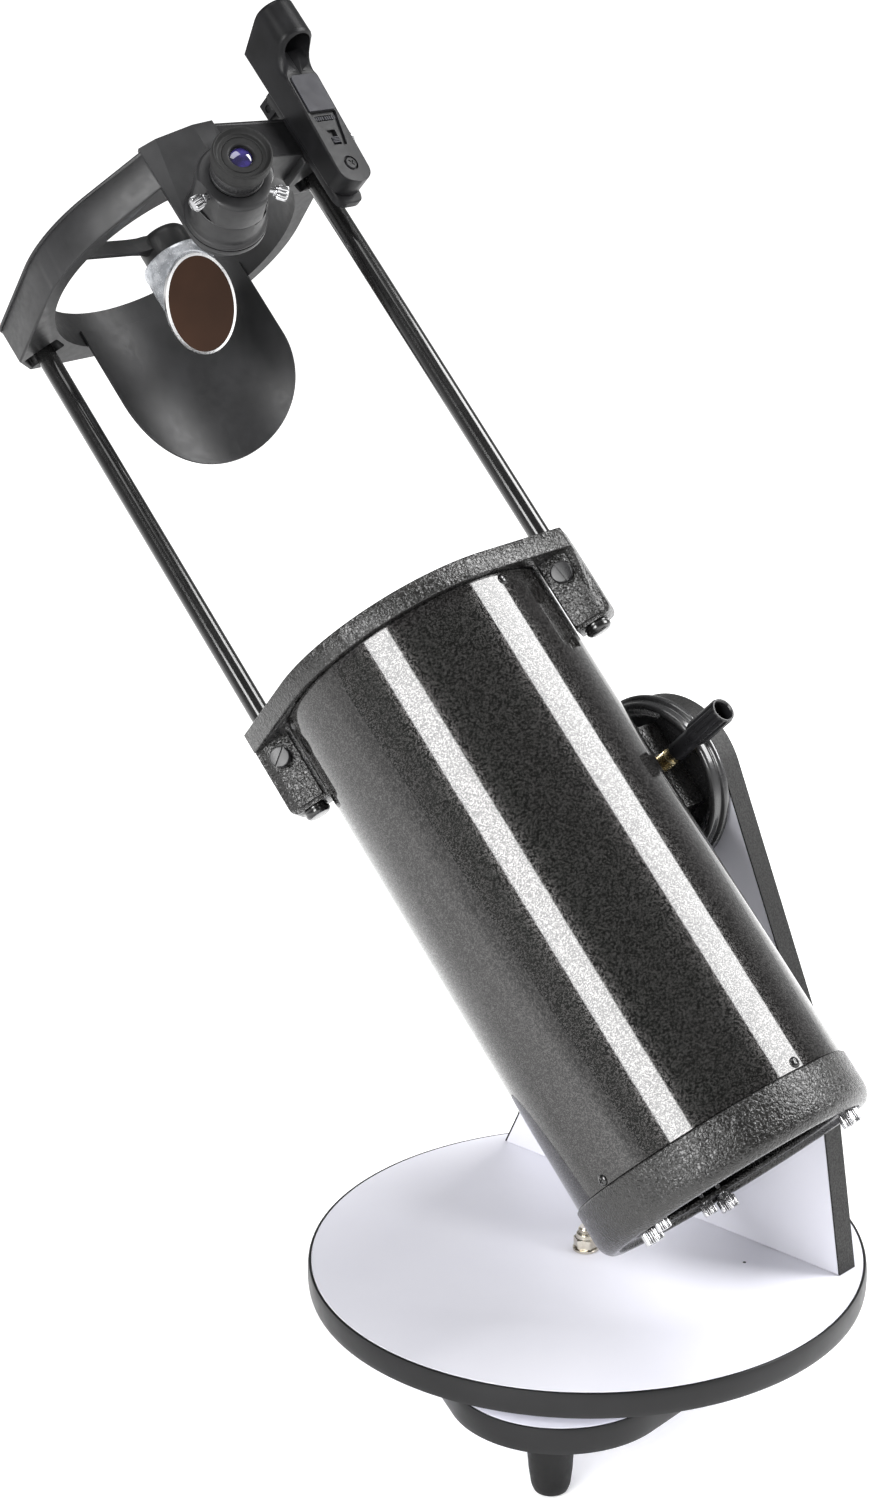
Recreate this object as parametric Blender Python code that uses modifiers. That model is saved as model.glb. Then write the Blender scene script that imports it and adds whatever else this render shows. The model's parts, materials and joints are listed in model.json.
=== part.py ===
"""A collapsible table-top Dobsonian reflector telescope.

World frame: +Z up, the tube points towards +Y and the altitude axis runs along +X towards
the single side board. z = 0 is the surface that the three feet stand on, and the azimuth
axis stands behind the middle of the object's outline, at y = AZIMUTH_Y.
"""
import math

import bmesh
import bpy
from mathutils import Vector

# ---------------------------------------------------------------- driving dimensions (m, degrees)
GAP = 0.0003                    # clearance kept between two pieces that touch
FINE = 48                       # sides of the large round pieces
ROUND = 28                      # sides of the medium round pieces
SMALL = 16                      # sides of screws and other small round pieces

AZIMUTH_Y = -0.0864             # the azimuth axis, behind the middle of the outline
DISC_TOP = 0.0855               # top of the rotating disc above the table
DISC_THICK = 0.0175
DISC_RADIUS = 0.1796
EDGE_THICK = 0.0020             # black edge band around the boards
GROUND_TOP = 0.0600
GROUND_THICK = 0.0180
LOBE_REACH = 0.1795             # centre to the tip of each rounded corner of the ground board
LOBE_RADIUS = 0.0700            # rounding of those corners
LOBE_ANGLES = (-147.0, -27.0, 93.0)
FOOT_REACH = 0.1500
FOOT_HEIGHT = GROUND_TOP - GROUND_THICK

BOARD_X = 0.0813                # inner face of the side board
BOARD_THICK = 0.0161
BAND_THICK = 0.0012
ALTITUDE_Y = 0.0060             # the altitude axis, from the azimuth axis
ALTITUDE_Z = DISC_TOP + 0.3010
BOARD_TOP_RADIUS = 0.0540
TUBE_X = -0.0470                # the optical axis, sideways from the azimuth axis
POINTING = 46.5                 # altitude of the tube above the horizon, at rest

TUBE_RADIUS = 0.0915
TUBE_WALL = 0.0012
TUBE_REAR = -0.2130             # stations along the optical axis, from the altitude axis
TUBE_FRONT = 0.1330
CAP_REAR = -0.2460
RING_FRONT = 0.1470
MIRROR_RADIUS = 0.0760

ROD_REACH = 0.1043              # each rod's distance from the optical axis
ROD_RADIUS = 0.0068
ROD_LOW = 0.0860
ROD_HIGH = 0.4590
LUG_LOW = 0.0860                # the lower ring's lugs run from here to the ring's front
CAGE_LOW = 0.4410
CAGE_HIGH = 0.4680
CAGE_INNER = 0.0880
CAGE_OUTER = 0.1000
FOCUS_STATION = 0.4060          # where the focuser's axis meets the optical axis
MIRROR_STATION = 0.4040         # the flat mirror's middle, set a little down the tube from it
FOCUSER_ROLL = 112.0            # the focuser's direction around the tube, from +X upwards
ROD_ROLL = 141.5                # square to the plane of the two rods
SECONDARY_RADIUS = 0.0235
VANE_ANGLE = -63.0              # the spider's arm, around the cage from the focuser
SHIELD_RADIUS = 0.0876          # outside of the light shield
SHIELD_LOW = 0.3320
SHIELD_ANGLE = 176.5            # its middle, around the cage from the focuser
SHIELD_HALF_ANGLE = 44.0

HUB_BACK = BOARD_X - 0.0024     # the altitude disc's flat back
HUB_RADIUS = 0.0575
DOVETAIL_FACE = TUBE_RADIUS + 0.0008
DOVETAIL_DEPTH = 0.0120
DOVETAIL_HALF = 0.0750
KNOB_X = 0.1050                 # the dovetail knob, outwards from the optical axis
KNOB_STATION = 0.0020
ROD_SCREW_STATION = 0.1210
CELL_FACE = -0.2300             # the mirror cell's front
CELL_KNOB_REACH = 0.0780
CELL_KNOB_ANGLES = (77.0, -43.0, 197.0)     # the collimation knobs, around the rods' plane
PAD_FACE = 0.1064               # the flat pad under the focuser, from the optical axis
THUMB_ANGLES = (99.0, -131.0)   # the two thumbscrews of the eyepiece holder
THUMB_HEIGHT = PAD_FACE + 0.0388
HOLDER_FLAT = 0.0215            # the flats that the thumbscrews go into, from the focuser's axis
PAD_HALF = 0.0262
PAD_THICK = 0.0036
FINDER_SIDE = 0.0575            # the finder's middle, along the altitude axis
FINDER_FOOT = 0.1063            # the finder body's underside, upwards from the optical axis
FINDER_HALF = 0.0138
FINDER_DECK = 0.1243            # its sloping top, at the station below
FINDER_DECK_STATION = 0.4500
FINDER_DECK_SLOPE = 4.0         # the top rises towards the hood
FINDER_EYE = 0.1340             # the hood's axis, upwards from the optical axis
BROW_STATION = 0.4840           # where the deck turns up into the hood's rear face
BROW_SLOPE = 54.0
CHIN_STATION = 0.5160           # where the hood's front meets the underside
CHIN_SLOPE = 69.7
HOOD_FRONT = 0.5260

# ---------------------------------------------------------------- colours: base, roughness, metallic
COLOURS = {
    "white_laminate": ((0.80, 0.80, 0.84), 0.35, 0.0),
    "black_edge": ((0.03, 0.03, 0.03), 0.55, 0.0),
    "black_gloss": ((0.010, 0.010, 0.011), 0.12, 0.0),
    "black_casting": ((0.022, 0.021, 0.020), 0.35, 0.0),
    "black_satin": ((0.035, 0.035, 0.038), 0.45, 0.0),
    "black_rubber": ((0.02, 0.02, 0.02), 0.75, 0.0),
    "nickel": ((0.62, 0.60, 0.55), 0.22, 1.0),
    "chrome": ((0.80, 0.80, 0.80), 0.10, 1.0),
    "brass": ((0.70, 0.60, 0.36), 0.28, 1.0),
    "silver": ((0.72, 0.72, 0.74), 0.25, 1.0),
    "mirror": ((0.92, 0.92, 0.93), 0.02, 1.0),
    "glass": ((0.25, 0.25, 0.45), 0.05, 0.0),
    "plastic_pad": ((0.85, 0.85, 0.82), 0.50, 0.0),
    "grey_panel": ((0.10, 0.10, 0.11), 0.35, 0.0),
}


# ---------------------------------------------------------------- modelling helpers
def clear_scene():
    for item in list(bpy.data.objects):
        bpy.data.objects.remove(item, do_unlink=True)


def make_collection(name):
    collection = bpy.data.collections.new(name)
    bpy.context.scene.collection.children.link(collection)
    return collection


def make_material(name):
    colour, roughness, metallic = COLOURS[name]
    material = bpy.data.materials.new(name)
    material.use_nodes = True
    shader = material.node_tree.nodes["Principled BSDF"]
    shader.inputs["Base Color"].default_value = (*colour, 1.0)
    shader.inputs["Roughness"].default_value = roughness
    shader.inputs["Metallic"].default_value = metallic
    return material


clear_scene()
PARTS = make_collection("dobsonian_telescope")
CUTTERS = make_collection("cutters")
MATERIALS = {name: make_material(name) for name in COLOURS}


def make_frame(name, parent=None, place=(0, 0, 0), turn=(0, 0, 0)):
    """An empty that holds a group of pieces on its own axes (turn in degrees)."""
    frame = bpy.data.objects.new(name, None)
    PARTS.objects.link(frame)
    frame.parent = parent
    frame.location = place
    frame.rotation_euler = [math.radians(angle) for angle in turn]
    return frame


def add_object(name, data, finish, frame, place=(0, 0, 0), turn=(0, 0, 0)):
    item = bpy.data.objects.new(name, data)
    item.parent = frame
    item.location = place
    item.rotation_euler = [math.radians(angle) for angle in turn]
    if finish is None:
        CUTTERS.objects.link(item)
        item.hide_render = True
        item.display_type = "WIRE"
    else:
        PARTS.objects.link(item)
        data.materials.append(MATERIALS[finish])
    return item


def box(name, low, high, finish, frame, place=(0, 0, 0), turn=(0, 0, 0), bevel=0.0):
    """A block from corner to corner, with its own axes at place."""
    mesh = bpy.data.meshes.new(name)
    form = bmesh.new()
    bmesh.ops.create_cube(form, size=1.0)
    low, high = Vector(low), Vector(high)
    for vert in form.verts:
        vert.co = (low + high) / 2 + Vector(a * b for a, b in zip(vert.co, high - low))
    form.to_mesh(mesh)
    form.free()
    item = add_object(name, mesh, finish, frame, place, turn)
    if bevel:
        add_bevel(item, bevel)
    return item


def rod(name, radius, low, high, finish, frame, place=(0, 0, 0), turn=(0, 0, 0), sides=SMALL, tip=None):
    """A cylinder, or a cone with another tip radius, along its own Z from low to high."""
    mesh = bpy.data.meshes.new(name)
    form = bmesh.new()
    bmesh.ops.create_cone(form, cap_ends=True, segments=sides, radius1=radius,
                          radius2=radius if tip is None else tip, depth=high - low)
    bmesh.ops.translate(form, vec=(0, 0, (high + low) / 2), verts=form.verts)
    form.to_mesh(mesh)
    form.free()
    smooth(mesh)
    return add_object(name, mesh, finish, frame, place, turn)


def smooth(mesh):
    mesh.shade_smooth()
    mesh.set_sharp_from_angle(angle=math.radians(35))


def turned(name, profile, finish, frame, place=(0, 0, 0), turn=(0, 0, 0), sides=ROUND, closed=False):
    """A profile of (radius, height) points, down the outer side, spun around its own Z."""
    mesh = bpy.data.meshes.new(name)
    points = [(radius, 0.0, height) for radius, height in profile]
    edges = [(i, i + 1) for i in range(len(points) - 1)]
    if closed:
        edges.append((len(points) - 1, 0))
    mesh.from_pydata(points, edges, [])
    item = add_object(name, mesh, finish, frame, place, turn)
    screw = item.modifiers.new("turn", "SCREW")
    screw.steps = sides
    screw.render_steps = sides
    screw.use_merge_vertices = True
    screw.merge_threshold = 0.00001
    screw.use_smooth_shade = True
    return item


def ring(name, inner, outer, low, high, finish, frame, place=(0, 0, 0), turn=(0, 0, 0), sides=ROUND):
    profile = [(outer, high), (outer, low), (inner, low), (inner, high)]
    return turned(name, profile, finish, frame, place, turn, sides, closed=True)


def plate(name, outlines, low, high, finish, frame, place=(0, 0, 0), turn=(0, 0, 0)):
    """A flat outline, with any further outlines as holes, from low to high along its own Z."""
    curve = bpy.data.curves.new(name, "CURVE")
    curve.dimensions = "2D"
    curve.fill_mode = "BOTH"
    curve.extrude = (high - low) / 2
    for outline in outlines:
        spline = curve.splines.new("POLY")
        spline.points.add(len(outline) - 1)
        for point, (x, y) in zip(spline.points, outline):
            point.co = (x, y, 0, 1)
        spline.use_cyclic_u = True
    guide = add_object(name + "_outline", curve, None, frame, place, turn)
    mesh = bpy.data.meshes.new_from_object(guide.evaluated_get(bpy.context.evaluated_depsgraph_get()))
    bpy.data.objects.remove(guide, do_unlink=True)
    form = bmesh.new()
    form.from_mesh(mesh)
    bmesh.ops.remove_doubles(form, verts=form.verts, dist=0.00001)
    bmesh.ops.translate(form, vec=(0, 0, (high + low) / 2), verts=form.verts)
    form.to_mesh(mesh)
    form.free()
    mesh.name = name
    return add_object(name, mesh, finish, frame, place, turn)


def add_bevel(item, width, segments=2, angle=40):
    bevel = item.modifiers.new("round", "BEVEL")
    bevel.width = width
    bevel.segments = segments
    bevel.limit_method = "ANGLE"
    bevel.angle_limit = math.radians(angle)
    return item


def combine(item, tool, operation="DIFFERENCE"):
    """Cut the tool away from the item, or join it on; the tool stays among the cutters."""
    modifier = item.modifiers.new(operation.lower(), "BOOLEAN")
    modifier.operation = operation
    modifier.solver = "EXACT"
    modifier.object = tool
    return item


def arc(centre, radius, start, end, count):
    """Points along an arc, from start to end in degrees, both ends included."""
    points = []
    for i in range(count):
        angle = math.radians(start + (end - start) * i / (count - 1))
        points.append((centre[0] + radius * math.cos(angle), centre[1] + radius * math.sin(angle)))
    return points


def around(radius, degrees):
    angle = math.radians(degrees)
    return radius * math.cos(angle), radius * math.sin(angle)


# ---------------------------------------------------------------- frames
BASE = make_frame("azimuth_axis", place=(0, AZIMUTH_Y, 0))
# Along the side board: own Z is the altitude axis, own X is forwards, own Y is up.
PIVOT = make_frame("altitude_axis", BASE, (0, ALTITUDE_Y, ALTITUDE_Z), (90, 0, 90))
# Along the tube: own Z is the optical axis and own X is the altitude axis.
OPTICS = make_frame("optical_axis", BASE, (TUBE_X, ALTITUDE_Y, ALTITUDE_Z), (POINTING - 90, 0, 0))
# Around the tube: own X faces out of the rods' plane, own Y runs towards the upper rod.
RODS = make_frame("rod_plane", OPTICS, turn=(0, 0, -ROD_ROLL))
# Around the tube: own X is the focuser's direction.
CAGE = make_frame("cage_axis", OPTICS, turn=(0, 0, -FOCUSER_ROLL))


# ---------------------------------------------------------------- the ground board and its feet
def lobed_outline(reach, rounding):
    """A triangle with widely rounded corners, one on each lobe angle."""
    points = []
    for angle in LOBE_ANGLES:
        centre = around(reach - rounding, angle)
        points += arc(centre, rounding, angle - 60, angle + 60, 13)
    return points


def build_ground():
    low = GROUND_TOP - GROUND_THICK
    hole = arc((0, 0), 0.0053, 0, 337.5, SMALL)
    plate("ground_board", [lobed_outline(LOBE_REACH, LOBE_RADIUS), hole], low, GROUND_TOP,
          "white_laminate", BASE)
    band = [lobed_outline(LOBE_REACH + EDGE_THICK, LOBE_RADIUS + EDGE_THICK),
            lobed_outline(LOBE_REACH + GAP, LOBE_RADIUS + GAP)]
    plate("ground_board_edge", band, low, GROUND_TOP, "black_edge", BASE)

    for number, angle in enumerate(LOBE_ANGLES, 1):
        x, y = around(FOOT_REACH, angle)
        top = FOOT_HEIGHT - GAP
        foot = [(0, top), (0.0150, top), (0.0117, 0.0030), (0.0100, 0.0006), (0.0092, 0),
                (0.0040, 0), (0.0040, 0.0060), (0, 0.0060)]
        turned(f"foot_{number}", foot, "black_rubber", BASE, (x, y, 0), sides=SMALL)
        rod(f"glide_pad_{number}", 0.0140, GROUND_TOP + GAP, DISC_TOP - DISC_THICK - GAP,
            "plastic_pad", BASE, (x * 0.87, y * 0.87, 0), sides=ROUND)

    bolt = [(0, DISC_TOP + 0.0165), (0.0038, DISC_TOP + 0.0165), (0.0049, DISC_TOP + 0.0150),
            (0.0049, low - GAP), (0.0110, low - GAP), (0.0110, low - 0.0020), (0.0060, low - 0.0050),
            (0, low - 0.0050)]
    turned("pivot_bolt", bolt, "nickel", BASE, sides=SMALL)
    ring("pivot_washer", 0.0053, 0.0088, DISC_TOP + GAP, DISC_TOP + 0.0022, "nickel", BASE, sides=24)
    nut = rod("pivot_nut", 0.0083, DISC_TOP + 0.0025, DISC_TOP + 0.0125, "nickel", BASE, sides=6)
    bore = rod("pivot_nut_bore", 0.0052, DISC_TOP, DISC_TOP + 0.0200, None, BASE)
    combine(nut, bore)


# ---------------------------------------------------------------- the rotating disc and side board
def side_board_outline(inset):
    """The side board seen along the altitude axis: own X forwards, own Y up, the pivot at 0, 0."""
    bottom = DISC_TOP + GAP - ALTITUDE_Z
    rear_foot = (-0.1446 - ALTITUDE_Y, bottom)
    rear_bend = (-0.1259 - ALTITUDE_Y, bottom + 0.1250)
    front_bend = (0.1350 - ALTITUDE_Y, bottom + 0.0250)
    front_foot = (0.1476 - ALTITUDE_Y, bottom)
    crown = arc((0, 0), BOARD_TOP_RADIUS - inset, 15, 157, 25)
    shift = inset * 1.05
    points = [(front_foot[0] - shift, bottom), (front_bend[0] - shift, front_bend[1])]
    points += crown
    points += [(rear_bend[0] + shift, rear_bend[1]), (rear_foot[0] + shift, bottom)]
    return points


def side_board_band():
    """The band along the side board's two slanted sides and its rounded top, open at the bottom."""
    outer = side_board_outline(0)
    inner = side_board_outline(BAND_THICK)
    return outer + inner[::-1]


def build_turntable():
    low = DISC_TOP - DISC_THICK
    hole = arc((0, 0), 0.0056, 0, 337.5, SMALL)
    plate("turntable_disc", [arc((0, 0), DISC_RADIUS, 0, 355, 72), hole], low, DISC_TOP,
          "white_laminate", BASE)
    middle = (low + DISC_TOP) / 2
    half = DISC_THICK / 2
    edge = [(DISC_RADIUS + GAP, DISC_TOP), (DISC_RADIUS + 0.0010, DISC_TOP)]
    edge += [(DISC_RADIUS + 0.0010 + 0.0016 * math.cos(math.radians(angle)),
              middle + half * math.sin(math.radians(angle))) for angle in (55, 18, -18, -55)]
    edge += [(DISC_RADIUS + 0.0010, low), (DISC_RADIUS + GAP, low)]
    turned("turntable_edge", edge, "black_edge", BASE, sides=72, closed=True)

    board = plate("side_board", [side_board_outline(BAND_THICK + GAP)], BOARD_X, BOARD_X + BOARD_THICK,
                  "white_laminate", PIVOT)
    plate("side_board_edge", [side_board_band()], BOARD_X, BOARD_X + BOARD_THICK, "black_edge", PIVOT)
    combine(board, rod("altitude_bore", 0.0054, 0.0700, 0.1100, None, PIVOT))


# ---------------------------------------------------------------- the altitude bearing
def dovetail_outline(clearance):
    """The dovetail bar's section: own X across, own Y away from the tube, wider on its far side."""
    narrow = 0.0176 + clearance
    wide = 0.0215 + clearance
    depth = DOVETAIL_DEPTH + clearance
    return [(-narrow, 0), (narrow, 0), (wide, depth), (-wide, depth)]


def build_altitude_hub():
    dish = [(HUB_RADIUS, HUB_BACK), (HUB_RADIUS, HUB_BACK - 0.0035), (0.0545, HUB_BACK - 0.0045),
            (0.0530, HUB_BACK - 0.0105), (0.0495, HUB_BACK - 0.0105), (0.0440, HUB_BACK - 0.0050),
            (0.0054, HUB_BACK - 0.0050), (0.0054, HUB_BACK)]
    turned("altitude_disc", dish, "black_gloss", PIVOT, sides=FINE, closed=True)

    # The saddle grips the tube's dovetail bar. Its own Y points down the slope, square to the tube.
    saddle_low = TUBE_RADIUS + 0.0030
    saddle_high = HUB_BACK - TUBE_X - 0.0050 - GAP
    saddle = box("dovetail_saddle", (saddle_low, -0.0300, -0.0300), (saddle_high, 0.0300, 0.0300),
                 "black_casting", OPTICS, bevel=0.0010)
    cutter = plate("dovetail_channel", [dovetail_outline(GAP * 1.5)], -0.0500, 0.0500, None, OPTICS,
                   (DOVETAIL_FACE, 0, 0), (0, 0, -90))
    combine(saddle, cutter)
    combine(saddle, rod("saddle_bolt_bore", 0.0092, 0.1138, 0.1300, None, OPTICS, turn=(0, 90, 0)))
    combine(saddle, rod("jaw_screw_bore", 0.0040, 0.0100, 0.0500, None, OPTICS,
                        (KNOB_X, 0, KNOB_STATION), (90, 0, 0)))

    bolt = [(0, BOARD_X + 0.0400), (0.0040, BOARD_X + 0.0400), (0.0049, BOARD_X + 0.0390),
            (0.0049, HUB_BACK - 0.0053), (0.0085, HUB_BACK - 0.0053), (0.0085, HUB_BACK - 0.0115),
            (0, HUB_BACK - 0.0115)]
    turned("altitude_bolt", bolt, "nickel", PIVOT, sides=SMALL)
    ring("friction_washer", 0.0053, 0.0300, HUB_BACK + GAP, BOARD_X - GAP, "plastic_pad", PIVOT)
    outside = BOARD_X + BOARD_THICK
    ring("altitude_washer", 0.0053, 0.0130, outside + GAP, outside + 0.0020, "nickel", PIVOT)
    knob = [(0.0053, outside + 0.0210), (0.0100, outside + 0.0210), (0.0125, outside + 0.0195),
            (0.0130, outside + 0.0160), (0.0260, outside + 0.0150), (0.0275, outside + 0.0120),
            (0.0275, outside + 0.0060), (0.0260, outside + 0.0040), (0.0140, outside + 0.0023),
            (0.0053, outside + 0.0023)]
    turned("altitude_tension_knob", knob, "black_satin", PIVOT, closed=True)


def build_dovetail_knob():
    stud = [(0, 0.0520), (0.0042, 0.0520), (0.0042, 0.0400), (0.0056, 0.0395), (0.0056, 0.0304),
            (0.0036, 0.0302), (0.0036, 0.0235), (0, 0.0235)]
    turned("dovetail_knob_stud", stud, "brass", OPTICS, (KNOB_X, 0, KNOB_STATION), (90, 0, 0), SMALL)
    hollow = [(0, 0.0800), (0.0060, 0.0800), (0.0060, 0.0965), (0.0078, 0.0965), (0.0085, 0.0950),
              (0.0085, 0.0690), (0.0062, 0.0650), (0.0060, 0.0450), (0.0045, 0.0450),
              (0.0045, 0.0523), (0, 0.0523)]
    turned("dovetail_knob", hollow, "black_satin", OPTICS, (KNOB_X, 0, KNOB_STATION), (90, 0, 0), 24)


# ---------------------------------------------------------------- the lower tube
def lug_block(name, side, low, high, inner, outer, half_width):
    """A block around one rod, on one side of the tube (side is +1 or -1 along the rods' plane)."""
    near, far = sorted((side * inner, side * outer))
    return box(name, (-half_width, near, low), (half_width, far, high), None, RODS)


def build_tube():
    ring("main_tube", TUBE_RADIUS - TUBE_WALL, TUBE_RADIUS, TUBE_REAR, TUBE_FRONT, "black_gloss",
         OPTICS, sides=FINE)

    plate("dovetail_bar", [dovetail_outline(0)], -DOVETAIL_HALF, DOVETAIL_HALF, "black_satin", OPTICS,
          (DOVETAIL_FACE, 0, 0), (0, 0, -90))

    outer = 0.0970
    spigot = TUBE_RADIUS - TUBE_WALL - GAP
    profile = [(outer - 0.0010, RING_FRONT), (outer, RING_FRONT - 0.0010), (outer, TUBE_FRONT + GAP),
               (spigot, TUBE_FRONT + GAP), (spigot, TUBE_FRONT - 0.0080),
               (spigot - 0.0012, TUBE_FRONT - 0.0080), (spigot - 0.0012, RING_FRONT)]
    front = turned("front_ring", profile, "black_casting", OPTICS, sides=FINE, closed=True)
    for number, side in enumerate((1, -1), 1):
        block = lug_block(f"front_lug_{number}", side, LUG_LOW, RING_FRONT - 0.0007, 0.0925, 0.1180, 0.0125)
        combine(front, block, "UNION")
        bore = rod(f"front_lug_bore_{number}", ROD_RADIUS + GAP, 0.0500, 0.2000, None, RODS,
                   (0, side * ROD_REACH, 0), sides=24)
        combine(front, bore)
        thread = rod(f"rod_screw_bore_{number}", 0.0034, 0.0040, 0.0300, None, RODS,
                     (0, side * ROD_REACH, ROD_SCREW_STATION), (0, 90, 0))
        combine(front, thread)

    build_rear_cap()


def build_rear_cap():
    """The rear casting: a band with a rounded rear edge and a recessed flange for the three knobs."""
    outer = 0.0932
    rounding = 0.0070
    cap = [(outer, TUBE_REAR - GAP), (outer, CAP_REAR + rounding)]
    cap += arc((outer - rounding, CAP_REAR + rounding), rounding, -30, -90, 3)
    cap += [(0.0850, CAP_REAR + 0.0030), (0.0720, CAP_REAR + 0.0030), (0.0720, CAP_REAR + 0.0065),
            (0.0890, CAP_REAR + 0.0065), (0.0890, TUBE_REAR - GAP)]
    cap = turned("rear_cap", cap, "black_casting", OPTICS, sides=FINE, closed=True)
    for number, angle in enumerate(CELL_KNOB_ANGLES, 1):
        x, y = around(CELL_KNOB_REACH, angle)
        combine(cap, rod(f"cap_bore_{number}", 0.0026, CAP_REAR - 0.0100, CAP_REAR + 0.0100, None, RODS,
                         (x, y, 0)))


def build_mirror_cell():
    cell = plate("mirror_cell", [arc((0, 0), 0.0850, 0, 360 - 360 / FINE, FINE),
                                 arc((0, 0), 0.0250, 0, 345, 24)],
                 CELL_FACE - 0.0060, CELL_FACE, "black_casting", OPTICS)
    for number, angle in enumerate(CELL_KNOB_ANGLES, 1):
        clip = box(f"mirror_clip_{number}", (0.0730, -0.0060, CELL_FACE - 0.0010),
                   (0.0805, 0.0060, CELL_FACE + 0.0290), None, RODS, turn=(0, 0, angle + 60))
        combine(cell, clip, "UNION")
        x, y = around(CELL_KNOB_REACH, angle)
        bore = rod(f"cell_bore_{number}", 0.0026, CELL_FACE - 0.0100, CELL_FACE + 0.0100, None, RODS,
                   (x, y, 0))
        combine(cell, bore)
        knob = [(0, CELL_FACE - 0.0010), (0.0022, CELL_FACE - 0.0010), (0.0022, CAP_REAR + 0.0025),
                (0.0045, CAP_REAR + 0.0025), (0.0062, CAP_REAR - 0.0005), (0.0062, CAP_REAR - 0.0075),
                (0.0055, CAP_REAR - 0.0083), (0, CAP_REAR - 0.0083)]
        turned(f"collimation_knob_{number}", knob, "chrome", RODS, (x, y, 0), sides=SMALL)
    combine(cell, rod("mirror_pocket", MIRROR_RADIUS + GAP, CELL_FACE + GAP, CELL_FACE + 0.0275, None, OPTICS,
                      sides=FINE))
    mirror = [(0, CELL_FACE + 0.0255), (0.0400, CELL_FACE + 0.0260), (MIRROR_RADIUS, CELL_FACE + 0.0270),
              (MIRROR_RADIUS, CELL_FACE + 0.0006), (0, CELL_FACE + 0.0006)]
    turned("primary_mirror", mirror, "mirror", OPTICS, sides=FINE)


def build_rod_screws():
    for number, side in enumerate((1, -1), 1):
        screw = [(0, 0.0190), (0.0060, 0.0188), (0.0068, 0.0178), (0.0068, 0.0140), (0.0032, 0.0138),
                 (0.0032, ROD_RADIUS + 0.0010), (0, ROD_RADIUS + 0.0010)]
        turned(f"rod_lock_screw_{number}", screw, "black_satin", RODS,
               (0, side * ROD_REACH, ROD_SCREW_STATION), (0, 90, 0), 24)


# ---------------------------------------------------------------- the sliding upper cage
def build_rods():
    """Each rod ends in a wider stop below its lug, so that the cage can't be pulled off."""
    for label, side in (("right", 1), ("left", -1)):
        profile = [(0, ROD_HIGH), (ROD_RADIUS, ROD_HIGH), (ROD_RADIUS, ROD_LOW - GAP),
                   (0.0084, ROD_LOW - GAP), (0.0084, ROD_LOW - 0.0045), (0.0070, ROD_LOW - 0.0060),
                   (0, ROD_LOW - 0.0060)]
        turned(f"{label}_rod", profile, "black_gloss", RODS, (0, side * ROD_REACH, 0), sides=24)


def build_cage_ring():
    """The upper ring, with a lug for each rod, a flat pad for the focuser and one for the finder."""
    cage = rod("upper_ring", CAGE_OUTER, CAGE_LOW, CAGE_HIGH, "black_satin", CAGE, sides=FINE)
    lug_low = CAGE_LOW - 0.0010
    for number, side in enumerate((1, -1), 1):
        combine(cage, lug_block(f"upper_lug_{number}", side, lug_low, ROD_HIGH + 0.0010, 0.0890, 0.1180,
                                0.0110), "UNION")
    combine(cage, box("focuser_pad_root", (0.0950, -PAD_HALF, CAGE_LOW), (PAD_FACE, PAD_HALF, 0.4710), None,
                      CAGE), "UNION")
    combine(cage, box("focuser_pad", (PAD_FACE - PAD_THICK, -PAD_HALF, FOCUS_STATION),
                      (PAD_FACE, PAD_HALF, 0.4690), None, CAGE), "UNION")
    combine(cage, rod("focuser_pad_end", PAD_HALF, PAD_FACE - PAD_THICK, PAD_FACE, None, CAGE,
                      (0, 0, FOCUS_STATION), (0, 90, 0), FINE), "UNION")
    combine(cage, box("finder_pad", (FINDER_SIDE - 0.0115, -0.0995, 0.4330),
                      (FINDER_SIDE + 0.0115, -0.0700, 0.4640), None, OPTICS), "UNION")
    combine(cage, rod("ring_bore", CAGE_INNER, 0.3700, 0.5200, None, CAGE, sides=FINE))
    combine(cage, rod("focuser_bore", 0.0235, 0.0700, 0.1300, None, CAGE, (0, 0, FOCUS_STATION),
                      (0, 90, 0), ROUND))
    for number, side in enumerate((1, -1), 1):
        combine(cage, rod(f"upper_lug_bore_{number}", ROD_RADIUS + GAP, lug_low - 0.0100,
                          ROD_HIGH + GAP, None, RODS, (0, side * ROD_REACH, 0), sides=24))


def build_spider():
    """One thick arm from the ring to a round hub, with the holder and its flat mirror below."""
    hub = rod("spider", 0.0175, CAGE_LOW + 0.0010, CAGE_LOW + 0.0200, "black_satin", CAGE, sides=ROUND)
    vane = box("spider_arm", (0.0100, -0.0017, CAGE_LOW + 0.0080),
               (CAGE_INNER - 0.0006, 0.0017, CAGE_HIGH - 0.0090), None, CAGE, turn=(0, 0, VANE_ANGLE))
    combine(hub, vane, "UNION")
    # The mirror's own Z faces half towards the focuser and half down the tube.
    facing = (0, 135, 0)
    meeting = (0, 0, MIRROR_STATION)
    plate("secondary_mirror", [ellipse(SECONDARY_RADIUS * math.sqrt(2), SECONDARY_RADIUS, 48)],
          -0.0030, 0.0, "mirror", CAGE, meeting, facing)
    holder = rod("secondary_holder", SECONDARY_RADIUS - 0.0007, MIRROR_STATION - 0.0300,
                 CAGE_LOW + 0.0010 - GAP, "silver", CAGE, sides=FINE)
    combine(holder, box("holder_cut", (-0.1000, -0.0600, -0.0033), (0.1000, 0.0600, 0.1000), None, CAGE,
                        meeting, facing))


def ellipse(half_length, half_width, count):
    points = []
    for i in range(count):
        angle = 2 * math.pi * i / count
        points.append((half_length * math.cos(angle), half_width * math.sin(angle)))
    return points


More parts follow.
